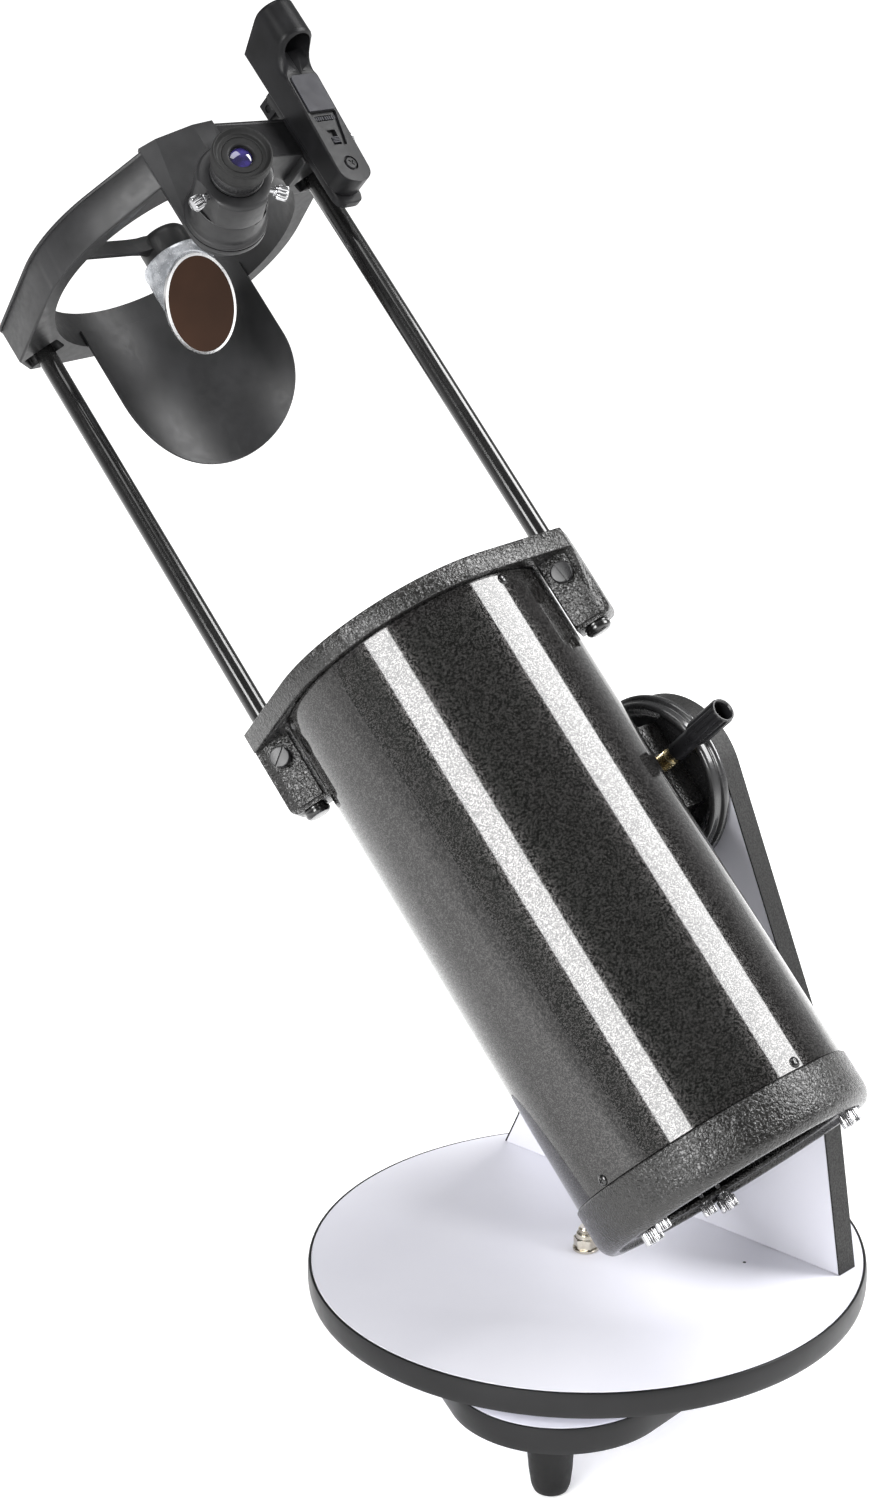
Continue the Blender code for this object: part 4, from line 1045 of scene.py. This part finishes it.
def build_spider():
    low, high = span("spider", CAGE)
    radius = 0.0175
    profile = [(0, high.z, 0), (radius - 0.0030, high.z, 0.002), (radius, high.z - 0.0040, 0.003),
               (radius, low.z + 0.0006, 0.0005), (radius - 0.0008, low.z), (0, low.z)]
    hub = lathe("spider_hub", profile, OPTICS, 96, corner=0.0008)
    for turn in (0, 120, 240):
        combine(hub, plug("hub_screw_well", 0.0024, high.z + 0.01, high.z - 0.0030, CAGE, 24,
                          centre=(0.0095 * math.cos(math.radians(turn)),
                                  0.0095 * math.sin(math.radians(turn)))))
    tip = Vector((0, 0))
    for vert in frame["nodes"]["spider"].data.vertices:
        point = (CAGE.inverted() @ vert.co).xy
        if point.length > tip.length:
            tip = point
    arm_frame = CAGE @ Matrix.Rotation(math.atan2(tip.y, tip.x), 4, "Z")
    reach = tip.length - 0.0001
    sections = ((0.0080, 0.0052), (0.0190, 0.0040), (0.0240, 0.0024), (0.0330, 0.0017), (0.0720, 0.0017),
                (0.0820, 0.0026), (reach - 0.0012, 0.0042), (reach, 0.0044))
    low_edge, high_edge = low.z + 0.0065, high.z - 0.0015
    rings = []
    for x, half in sections:
        ring = rounded([(-half, low_edge), (half, low_edge), (half, high_edge), (-half, high_edge)], 0.0006)
        rings.append([(x, y, z) for y, z in ring])
    combine(hub, skin("spider_arm", rings, arm_frame), "UNION")
    fit(hub, "satin_plastic", "black_satin", "upper_cage", "spider")


def build_secondary():
    """A bright cast holder cut at 45 degrees, with the flat mirror glued to the cut."""
    high = span("secondary_holder", CAGE)[1]
    radius = high.y
    body = lathe("secondary_holder_casting", [(0, high.z), (radius - 0.0004, high.z, 0.0008),
                                              (radius, high.z - 0.0020, 0.0008),
                                              (radius, FOCUS_STATION - 0.0330),
                                              (0, FOCUS_STATION - 0.0330)], OPTICS, 128,
                 corner=0.0004)
    glass_low, glass_high = span("secondary_mirror", CAGE)
    station = (glass_low.z + glass_high.z) / 2 + 0.0011
    tilted = CAGE @ Matrix.Translation((0, 0, station)) @ Matrix.Rotation(math.radians(135), 4, "Y")
    combine(body, block("cut", (-0.1, -0.06, -0.0033), (0.1, 0.06, 0.1), tilted))
    fit(body, "cast_silver", "silver", "upper_cage", "secondary_holder")

    half_width = span("secondary_mirror", tilted)[1].y
    half_length = half_width * math.sqrt(2)
    rings = []
    for shrink, height in ((0.0, -0.0030), (0.0, -0.0004), (0.0004, 0.0)):
        rings.append(oval(half_length - shrink, half_width - shrink, height))
    glass = skin("flat_mirror_glass", rings, tilted)
    fit(glass, "flat_mirror", "mirror", "upper_cage", "secondary_mirror")
    rim_rings = [oval(half_length + offset, half_width + offset, height)
                 for offset, height in ((0.0000, 0.0002), (0.0009, 0.0000), (0.0009, -0.0030),
                                        (0.0001, -0.0030),
                                        (-0.0009, 0.0003))]
    rim = skin("flat_mirror_rim", rim_rings, tilted, loop=True)
    fit(rim, "bright_rim", "silver", "upper_cage")


def oval(half_length, half_width, height, sides=96):
    points = []
    for i in range(sides):
        angle = 2 * math.pi * i / sides
        points.append((half_length * math.cos(angle), half_width * math.sin(angle), height))
    return points


def build_shield():
    """A thin curved tongue opposite the focuser: straight sides, then a round lower end."""
    low, high = span("light_shield", CAGE)
    radius = reach_of("light_shield", CAGE)
    angles = []
    for vert in frame["nodes"]["light_shield"].data.vertices:
        point = CAGE.inverted() @ vert.co
        angles.append(math.atan2(-point.y, -point.x))
    facing = math.pi + (min(angles) + max(angles)) / 2
    widest = (max(angles) - min(angles)) / 2
    depth = high.z - low.z
    columns, rows = 72, 30
    form = bmesh.new()
    grid = []
    for i in range(columns + 1):
        across = math.sin((-1 + 2 * i / columns) * math.pi / 2)
        angle = facing + widest * across
        fall = depth * (0.50 + 0.50 * math.sqrt(max(1 - across * across, 0)))
        column = []
        for j in range(rows + 1):
            height = high.z - fall * j / rows
            column.append(form.verts.new((radius * math.cos(angle), radius * math.sin(angle), height)))
        grid.append(column)
    for left, right in zip(grid, grid[1:]):
        for j in range(rows):
            form.faces.new((left[j], left[j + 1], right[j + 1], right[j]))
    shield = make_piece("light_shield_sheet", form, CAGE)
    solid = shield.modifiers.new("thickness", "SOLIDIFY")
    solid.thickness = 0.0014
    centre = CAGE.inverted() @ shield.data.vertices[0].co
    outward = (CAGE.inverted().to_3x3() @ shield.data.polygons[0].normal).xy.dot(centre.xy) > 0
    solid.offset = -1.0 if outward else 1.0
    bake(shield)
    soften(shield, 0.0003, 2, 50)
    fit(shield, "satin_plastic", "black_satin", "upper_cage", "light_shield")


# ---------------------------------------------------------------- the focuser and the eyepiece
def reach_of(node, matrix):
    """How far a CAD node reaches from the frame's own Z."""
    inverse = matrix.inverted()
    return max((inverse @ vert.co).xy.length for vert in frame["nodes"][node].data.vertices)


def build_focuser():
    low, high = span("focuser_housing", FOCUS)
    face = low.z
    rim = high.z
    flange = reach_of("focuser_housing", FOCUS)
    body = flange - 0.0024
    profile = [(flange, face, 0.0003), (flange, face + 0.0022, 0.0010),
               (body + 0.0008, face + 0.0034, 0.0012),
               (body + 0.0001, face + 0.0060, 0.0020), (body, rim - 0.0006, 0.0006),
               (body - 0.0007, rim, 0.0004),
               (0.0223, rim, 0.0004), (0.0223, face, 0.0002)]
    housing = lathe("focuser_housing_casting", profile, FOCUS, 160, loop=True, corner=0.0005)
    toward_lens = FOCUS @ Matrix.Rotation(math.radians(205), 4, "Z")
    slot = prism("slot", rounded([(0.0200, -0.0062), (0.0320, -0.0062), (0.0320, 0.0062), (0.0200, 0.0062)],
                                 0.001),
                 rim - 0.0018, rim + 0.0100, toward_lens)
    combine(housing, slot)
    fit(housing, "satin_plastic", "black_satin", "upper_cage", "focuser_housing")

    low, high = span("focuser_sleeve", FOCUS)
    rows = [(0.0198, high.z), (0.0219, high.z)]
    height = high.z - 0.0004
    while height > low.z + 0.0012:
        rows += [(0.0219, height), (0.0219, height - 0.0005), (0.0214, height - 0.0007),
                 (0.0214, height - 0.0010)]
        height -= 0.0012
    rows += [(0.0219, low.z), (0.0198, low.z)]
    fit(lathe("focuser_drawtube", rows, FOCUS, 96, loop=True), "smooth_plastic", "black_satin", "drawtube",
        "focuser_sleeve")
    build_holder()
    build_eyepiece()


def build_holder():
    """The eyepiece holder: round, with two flats that its thumbscrews go into."""
    low, high = span("eyepiece_holder", FOCUS)
    radius = reach_of("eyepiece_holder", FOCUS)
    skirt = span("focuser_housing", FOCUS)[1].z + 0.0009
    profile = [(0.0163, high.z, 0.0005), (0.0196, high.z, 0.0010), (radius - 0.0016, high.z - 0.0005, 0.0020),
               (radius, high.z - 0.0024, 0.0010), (radius, skirt, 0.0006), (0.0195, skirt, 0.0002),
               (0.0195, low.z),
               (0.0163, low.z)]
    holder = lathe("eyepiece_holder_body", profile, FOCUS, 160, loop=True, corner=0.0005)
    for number, name in ((1, "thumbscrew_left_turn"), (2, "thumbscrew_right_turn")):
        screw = thumb_frame(name)
        flat = span(f"thumbscrew_{number}", screw)[1].z - 0.0115
        combine(holder, block("flat", (-0.0300, -0.0300, flat), (0.0300, 0.0300, flat + 0.02), screw))
        combine(holder, plug("thumb_bore", 0.0023, 0.04, 0.010, screw, 32))
    soften(holder, 0.0005, 2, 45)
    fit(holder, "satin_plastic", "black_satin", "focus_ring", "eyepiece_holder")
    for number, name in ((1, "thumbscrew_left_turn"), (2, "thumbscrew_right_turn")):
        build_thumbscrew(number, thumb_frame(name), name.replace("_turn", ""))


def thumb_frame(joint):
    """Own Z out along the thumbscrew, with zero on the focuser's axis."""
    axis = axis_of(joint)
    out = FOCUS.to_3x3() @ Vector((0, 0, 1))
    point = point_of(joint)
    centre = FOCUS_ORIGIN + out * (point - FOCUS_ORIGIN).dot(out)
    if (point - centre).dot(axis) < 0:
        axis = -axis
    return axes_at(centre, out, axis)


def build_thumbscrew(number, matrix, body):
    low, high = span(f"thumbscrew_{number}", matrix)
    top = high.z
    rings = []
    for reach, depth, height in ((0.0004, 0, top), (0.0030, 0, top), (0.0036, 0.0, top - 0.0003),
                                 (0.0046, 0.0009, top - 0.0010), (0.0048, 0.0010, top - 0.0016),
                                 (0.0048, 0.0010, top - 0.0060), (0.0044, 0.0006, top - 0.0068),
                                 (0.0031, 0, top - 0.0072), (0.0029, 0, top - 0.0080),
                                 (0.0034, 0, top - 0.0082),
                                 (0.0034, 0, top - 0.0088), (0.0020, 0, top - 0.0090),
                                 (0.0020, 0, low.z + 0.0004),
                                 (0.0016, 0, low.z), (0.0003, 0, low.z)):
        rings.append(ribbed(reach, depth, 12, height, 8))
    fit(skin(f"thumbscrew_{number}_head", rings, matrix), "chrome", "chrome", body, f"thumbscrew_{number}")


def build_eyepiece():
    low, high = span("eyepiece_barrel", FOCUS)
    barrel = [(0.0145, high.z), (0.0158, high.z), (0.0158, low.z + 0.0006), (0.0154, low.z), (0.0145, low.z)]
    fit(lathe("eyepiece_chrome_barrel", barrel, FOCUS, 96, loop=True, corner=0.0002), "chrome", "chrome",
        "eyepiece", "eyepiece_barrel")

    low, high = span("eyepiece_body", FOCUS)
    cup_low, cup_high = span("eyecup", FOCUS)
    radius = reach_of("eyepiece_body", FOCUS)
    shoulder = cup_low.z - 0.0003
    rings = []
    for reach, depth, height in ((0.0150, 0, low.z), (radius - 0.0005, 0, low.z), (radius, 0, low.z + 0.0005),
                                 (radius, 0, low.z + 0.0022), (radius - 0.0006, 0, low.z + 0.0025),
                                 (radius - 0.0002, 0.0004, low.z + 0.0028),
                                 (radius - 0.0002, 0.0004, shoulder - 0.0026),
                                 (radius - 0.0006, 0, shoulder - 0.0023), (radius, 0, shoulder - 0.0020),
                                 (radius, 0, shoulder - 0.0007), (radius - 0.0008, 0, shoulder),
                                 (0.0149, 0, shoulder), (0.0149, 0, high.z), (0.0071, 0, high.z),
                                 (0.0071, 0, high.z - 0.0050), (0.0130, 0, high.z - 0.0075),
                                 (0.0144, 0, low.z)):
        rings.append(ribbed(reach, depth, 44, height, 5))
    fit(skin("eyepiece_grip", rings, FOCUS, loop=True), "satin_plastic", "black_satin", "eyepiece",
        "eyepiece_body")

    low, high = cup_low, cup_high
    radius = reach_of("eyecup", FOCUS)
    profile = [(0.0152, low.z), (radius - 0.0014, low.z, 0.0006), (radius - 0.0008, low.z + 0.0018, 0.0010),
               (radius - 0.0006, low.z + 0.0042, 0.0006), (radius, low.z + 0.0048, 0.0004),
               (radius, high.z - 0.0012, 0.0012), (radius - 0.0006, high.z, 0.0006),
               (radius - 0.0013, high.z, 0.0006), (0.0158, high.z - 0.0024, 0.0008),
               (0.0150, high.z - 0.0034, 0.0006),
               (0.0127, high.z - 0.0034, 0.0003), (0.0125, high.z - 0.0040, 0.0002),
               (0.0121, high.z - 0.0040, 0.0002),
               (0.0119, high.z - 0.0035, 0.0003), (0.0084, high.z - 0.0036, 0.0006),
               (0.0076, high.z - 0.0044, 0.0003), (0.0074, high.z - 0.0060, 0.0002),
               (0.0152, high.z - 0.0060)]
    fit(lathe("rubber_eyecup", profile, FOCUS, 160, loop=True, corner=0.0004), "rubber", "black_rubber",
        "eyepiece", "eyecup")

    low, high = span("eye_lens", FOCUS)
    radius = high.y
    profile = [(0, high.z)]
    for i in range(1, 13):
        reach = radius * i / 12
        profile.append((reach, high.z - 0.0012 * (reach / radius) ** 2))
    profile += [(radius, low.z + 0.0003), (radius - 0.0004, low.z), (0, low.z)]
    fit(lathe("eye_lens_glass", profile, FOCUS, 72), "lens_violet", "glass", "eyepiece", "eye_lens")


# ---------------------------------------------------------------- the red-dot finder
RISE = axis_of("finder_elevation_turn")                      # square to the finder's sloping deck
DECK = axes_at(point_of("finder_elevation_turn") - RISE * 0.0012, -WORLD_X, axis_of("battery_cover_slide"))
DECK_PLAN = DECK @ Matrix(((-1, 0, 0, 0), (0, 0, 1, 0), (0, 1, 0, 0), (0, 0, 0, 1)))   # own Z off the deck


def smooth_step(place, start, end):
    part = min(max((place - start) / (end - start), 0), 1)
    return part * part * (3 - 2 * part)


def finder_section(half, bottom, top, crown, height, arc=7):
    """A rounded rectangle whose upper corners have their own radius."""
    points = []
    for side, end, radius, start in ((1, 1, crown, 0), (-1, 1, crown, 90), (-1, -1, 0.0014, 180),
                                     (1, -1, 0.0014, 270)):
        radius = min(radius, half * 0.98, (top - bottom) * 0.48)
        edge = top - radius if end > 0 else bottom + radius
        for i in range(arc):
            angle = math.radians(start + 90 * i / (arc - 1))
            points.append((side * (half - radius) + radius * math.cos(angle),
                           edge + radius * math.sin(angle), height))
    return points


def build_finder():
    low, high = span("finder_body", FINDER)
    rear, front, half = low.z, high.z, high.x
    deck_origin = FINDER.inverted() @ DECK.translation
    along = FINDER.to_3x3().inverted() @ DECK.col[2].xyz
    slope = along.y / along.z
    brow, rim = rear + 0.0825, rear + 0.0990
    rings = []
    steps = 100
    for i in range(steps + 1):
        place = rear + (front - rear) * i / steps
        nose = max(0.0105 - (place - rear), 0) / 0.0105
        width = half * math.sqrt(max(1 - nose ** 2.4, 0.02))
        lip = max(place - (front - 0.0012), 0) * 0.5
        deck = deck_origin.y + (place - deck_origin.z) * slope
        climb = min(max((place - brow) / (rim - brow), 0), 1)
        top = deck + (high.y - deck) * climb ** 1.5
        crown = 0.0012 + (half * 0.96 - 0.0012) * smooth_step(place, brow - 0.004, rim - 0.004)
        rings.append(finder_section(width - lip, low.y + lip, top - lip, crown, place, 11))
    body = skin("finder_housing", rings, FINDER)
    chin = FINDER @ Matrix.Translation((0, low.y, front - 0.0100)) @ Matrix.Rotation(math.radians(20.3), 4,
                                                                                     "X")
    combine(body, block("chin", (-0.0300, -0.0300, 0.0), (0.0300, 0.0290, 0.0300), chin))
    eye = span("finder_window", FINDER)
    centre = (eye[0].y + eye[1].y) / 2 + 0.0012
    drop = [(0, centre - 0.0092)]
    for i in range(33):
        angle = math.radians(-30 + 240 * i / 32)
        drop.append((0.0106 * math.cos(angle), centre + 0.0106 * math.sin(angle)))
    combine(body, prism("eye_recess", drop, brow - 0.0020, rim + 0.0110, FINDER))
    combine(body, plug("eye_bore", 0.0100, front + 0.01, rim, FINDER, 64, centre=(0, centre - 0.0012)))

    cover_low, cover_high = span("finder_battery_cover", DECK)
    key_low, key_high = span("finder_switch", DECK)
    pocket = rounded([(0.0012 - cover_high.x, cover_low.z + 0.0010),
                      (cover_high.x - 0.0012, cover_low.z + 0.0010),
                      (cover_high.x - 0.0012, cover_high.z - 0.0012),
                      (0.0012 - cover_high.x, cover_high.z - 0.0012)],
                     0.003, steps=5)
    combine(body, prism("battery_pocket", pocket, -0.0040, 0.01, DECK_PLAN))
    valley = rounded([(-cover_high.x, cover_low.z - 0.0004), (cover_high.x, cover_low.z - 0.0004),
                      (0.0056, key_low.z - 0.0030), (-0.0056, key_low.z - 0.0030)], 0.0010)
    combine(body, prism("valley", valley, -0.0016, 0.0100, DECK_PLAN))
    for name, half_width, start, end in (("wheel_slot", 0.0074, cover_low.z - 0.0066, cover_low.z - 0.0026),
                                         ("key_slot", 0.0034, key_low.z - 0.0014, key_high.z + 0.0012)):
        slot = rounded([(-half_width, start), (half_width, start), (half_width, end), (-half_width, end)],
                       0.0006)
        combine(body, prism(name, slot, -0.0038, 0.01, DECK_PLAN))
    combine(body, plug("screw_well", 0.0054, 0.01, -0.0014, DECK_PLAN, 48))
    fit(soften(body, 0.0003, 2, 40), "finder_plastic", "black_satin", "upper_cage", "finder_body")
    build_finder_trim()
    build_finder_foot()


def build_finder_trim():
    low, high = span("finder_battery_cover", DECK)
    outline = rounded([(low.x, low.z, 0.0008), (high.x, low.z, 0.0008), (high.x, high.z, 0.0034),
                       (low.x, high.z, 0.0034)], 0.003, steps=6)
    cover = prism("battery_cover_panel", outline, 0.0002, 0.0011, DECK_PLAN)
    fit(soften(cover, 0.0003, 2, 50), "grey_panel", "grey_panel", "finder_cover", "finder_battery_cover")

    ribs = []
    for i in range(6):
        place = 0.0014 + 0.0018 * i
        for side in (1, -1):
            near, far = sorted((side * place - side * 0.0008, side * place + side * 0.0004))
            ribs.append(prism("rib", [(near, low.z - 0.0060), (far, low.z - 0.0060), (far, low.z - 0.0032),
                                      (near, low.z - 0.0032)], -0.0036, -0.0013, DECK_PLAN))
    fit(soften(merge("finder_brightness_wheel", ribs), 0.0002, 1, 50), "grey_panel", "black_satin",
        "upper_cage")

    low, high = span("finder_switch", DECK)
    key = prism("finder_power_key", rounded([(-0.0029, low.z), (0.0029, low.z), (0.0029, low.z + 0.0042),
                                             (-0.0029, low.z + 0.0042)], 0.0005), -0.0036, -0.0010, DECK_PLAN)
    for i in range(3):
        place = low.z + 0.0008 + 0.0011 * i
        combine(key, prism("groove", [(-0.0035, place), (0.0035, place), (0.0035, place + 0.0005),
                                      (-0.0035, place + 0.0005)], -0.0016, 0.01, DECK_PLAN))
    fit(soften(key, 0.0002, 1, 50), "grey_panel", "black_satin", "finder_power", "finder_switch")

    head = lathe("finder_elevation_screw", [(0, 0.0005, 0), (0.0040, 0.0005, 0.0005), (0.0044, -0.0004,
                                                                                       0.0003),
                                            (0.0044, -0.0010), (0, -0.0010)], DECK_PLAN, 48, corner=0.0003)
    for turn in (35, 125):
        combine(head, block("cross", (-0.0024, -0.0005, -0.0003), (0.0024, 0.0005, 0.01),
                            DECK_PLAN @ Matrix.Rotation(math.radians(turn), 4, "Z")))
    fit(head, "finder_plastic", "black_satin", "finder_elevation", "finder_elevation_wheel")

    low, high = span("finder_azimuth_wheel", DECK)
    matrix = axes_at(DECK @ ((low + high) / 2), axis_of("battery_cover_slide"), WORLD_X)
    thick = (high.x - low.x) / 2
    radius = (high.z - low.z) / 2
    rings = []
    for reach, depth, height in ((0.0020, 0, thick), (radius - 0.0014, 0, thick),
                                 (radius - 0.0003, 0.0005, thick - 0.0006), (radius, 0.0006, thick - 0.0010),
                                 (radius, 0.0006, -thick + 0.0006), (radius - 0.0008, 0, -thick),
                                 (0.0020, 0, -thick)):
        rings.append(ribbed(reach, depth, 26, height, 6))
    fit(skin("finder_azimuth_knob", rings, matrix), "chrome", "chrome", "finder_azimuth",
        "finder_azimuth_wheel")

    low, high = span("finder_window", FINDER)
    glass = lathe("finder_window_glass", [(0, high.z), (0.0097, high.z, 0.0002), (0.0097, low.z, 0.0002),
                                          (0, low.z)], FINDER, 64, corner=0.0002,
                  centre=(0, (low.y + high.y) / 2))
    fit(glass, "window_glass", "glass", "upper_cage", "finder_window")


def build_finder_foot():
    low, high = span("finder_base", FINDER)
    plate_low = high.y - 0.0062
    rings = []
    for shift, level in ((0.0010, plate_low), (0.0, plate_low + 0.0010), (0.0, high.y - 0.0010),
                         (0.0006, high.y)):
        ring = rounded([(low.x + shift, low.z + shift, 0.0075), (high.x - shift, low.z + shift, 0.0075),
                        (high.x - shift, high.z - shift, 0.001), (low.x + shift, high.z - shift, 0.001)],
                        0.003,
                       steps=8)
        rings.append([(x, level, place) for x, place in ring])
    foot = skin("finder_foot", rings, FINDER)
    hook = block("finder_hook", (low.x + 0.0002, low.y, high.z - 0.0130),
                 (high.x - 0.0002, plate_low + 0.0020, high.z - 0.0002), FINDER)
    combine(foot, soften(hook, 0.0008, 2, 40), "UNION")
    side_frame = FINDER @ Matrix(((0, 0, 1, high.x), (1, 0, 0, 0), (0, 1, 0, 0), (0, 0, 0, 1)))
    combine(foot, plug("hook_screw_well", 0.0026, 0.01, -0.0016, side_frame, 32,
                       centre=(low.y + 0.0055, high.z - 0.0068)))
    fit(soften(foot, 0.0002, 1, 50), "finder_plastic", "black_satin", "upper_cage", "finder_base")


# ---------------------------------------------------------------- floor, light and camera
def build_stage():
    form = bmesh.new()
    bmesh.ops.create_grid(form, x_segments=2, y_segments=2, size=14.0)
    floor = make_piece("studio_floor", form, Matrix.Translation((0, 0, -0.0002)))
    material, nodes, links, shader = new_material("floor_paper", 0.62, 0.0)
    shader.inputs["Base Color"].default_value = (0.90, 0.90, 0.90, 1)
    shader.inputs["Specular IOR Level"].default_value = 0.25
    place = nodes.new("ShaderNodeTexCoord")
    reach = nodes.new("ShaderNodeVectorMath")
    reach.operation = "LENGTH"
    links.new(place.outputs["Object"], reach.inputs[0])
    glow = rescale(nodes, links, reach.outputs["Value"], 0.30, 1.05, 0.30, 1.80)
    links.new(glow, shader.inputs["Emission Strength"])
    shader.inputs["Emission Color"].default_value = (1, 1, 1, 1)
    paper = place_noise(nodes, links, 700, 2.0)
    add_bump(nodes, links, shader, paper.outputs["Fac"], 0.05, 0.0002)
    floor.data.materials.append(material)


def add_lamp(name, direction, distance, width, length, radiance, target, along):
    """A soft box: its wide side is square to the light, its long side runs along the given direction."""
    direction = Vector(direction).normalized()
    data = bpy.data.lights.new(name, "AREA")
    data.shape = "RECTANGLE"
    data.size = width
    data.size_y = length
    data.energy = radiance * math.pi * width * length
    lamp = bpy.data.objects.new(name, data)
    side = (direction.cross(along)).normalized()
    up = side.cross(direction)
    lamp.matrix_world = Matrix((side, -up, direction)).transposed().to_4x4()
    lamp.location = Vector(target) + direction * distance
    bpy.context.scene.collection.objects.link(lamp)
    return lamp


def build_world():
    world = bpy.data.worlds.new("studio")
    bpy.context.scene.world = world
    world.use_nodes = True
    nodes, links = world.node_tree.nodes, world.node_tree.links
    back = nodes["Background"]
    place = nodes.new("ShaderNodeTexCoord")
    parts = nodes.new("ShaderNodeSeparateXYZ")
    links.new(place.outputs["Generated"], parts.inputs["Vector"])
    height = rescale(nodes, links, parts.outputs["Z"], 0.75, 0.16, 0.02, 0.42)
    links.new(height, back.inputs["Strength"])
    back.inputs["Color"].default_value = (1, 1, 1, 1)


CAMERA_PLACE = (-1.30102, -1.23641, 1.01125)
CAMERA_FORWARD = (0.67612, 0.66500, -0.31724)
CAMERA_ROLL = -1.1504


def build_camera():
    data = bpy.data.cameras.new("camera")
    data.lens = 71.17
    data.sensor_width = 36.0
    data.sensor_fit = "AUTO"
    data.clip_start = 0.05
    data.clip_end = 60
    camera = bpy.data.objects.new("camera", data)
    forward = Vector(CAMERA_FORWARD).normalized()
    right = forward.cross(Vector((0, 0, 1))).normalized()
    up = right.cross(forward)
    roll = math.radians(CAMERA_ROLL)
    across = right * math.cos(roll) + up * math.sin(roll)
    above = up * math.cos(roll) - right * math.sin(roll)
    camera.matrix_world = Matrix((across, above, -forward)).transposed().to_4x4()
    camera.location = CAMERA_PLACE
    bpy.context.scene.collection.objects.link(camera)
    bpy.context.scene.camera = camera


build_ground()
build_turntable()
build_altitude()
build_dovetail_knob()
build_tube()
build_rod_locks()
build_mirror_cell()
build_collimation()
build_rods()
build_upper_ring()
build_spider()
build_secondary()
build_shield()
build_focuser()
build_finder()
build_stage()
build_world()
add_lamp("left_softbox", (-0.883, -0.19, 0.43), 2.0, 0.68, 1.6, 15.0, TUBE_CENTRE, SKYWARD)
add_lamp("front_softbox", (0.558, -0.464, 0.688), 2.0, 0.92, 1.8, 13.5, TUBE_CENTRE, SKYWARD)
add_lamp("top_softbox", (-0.15, 0.1, 1.0), 2.6, 1.2, 1.2, 3.4, TUBE_CENTRE, WORLD_X)
build_camera()
bpy.context.scene.view_settings.view_transform = "Standard"
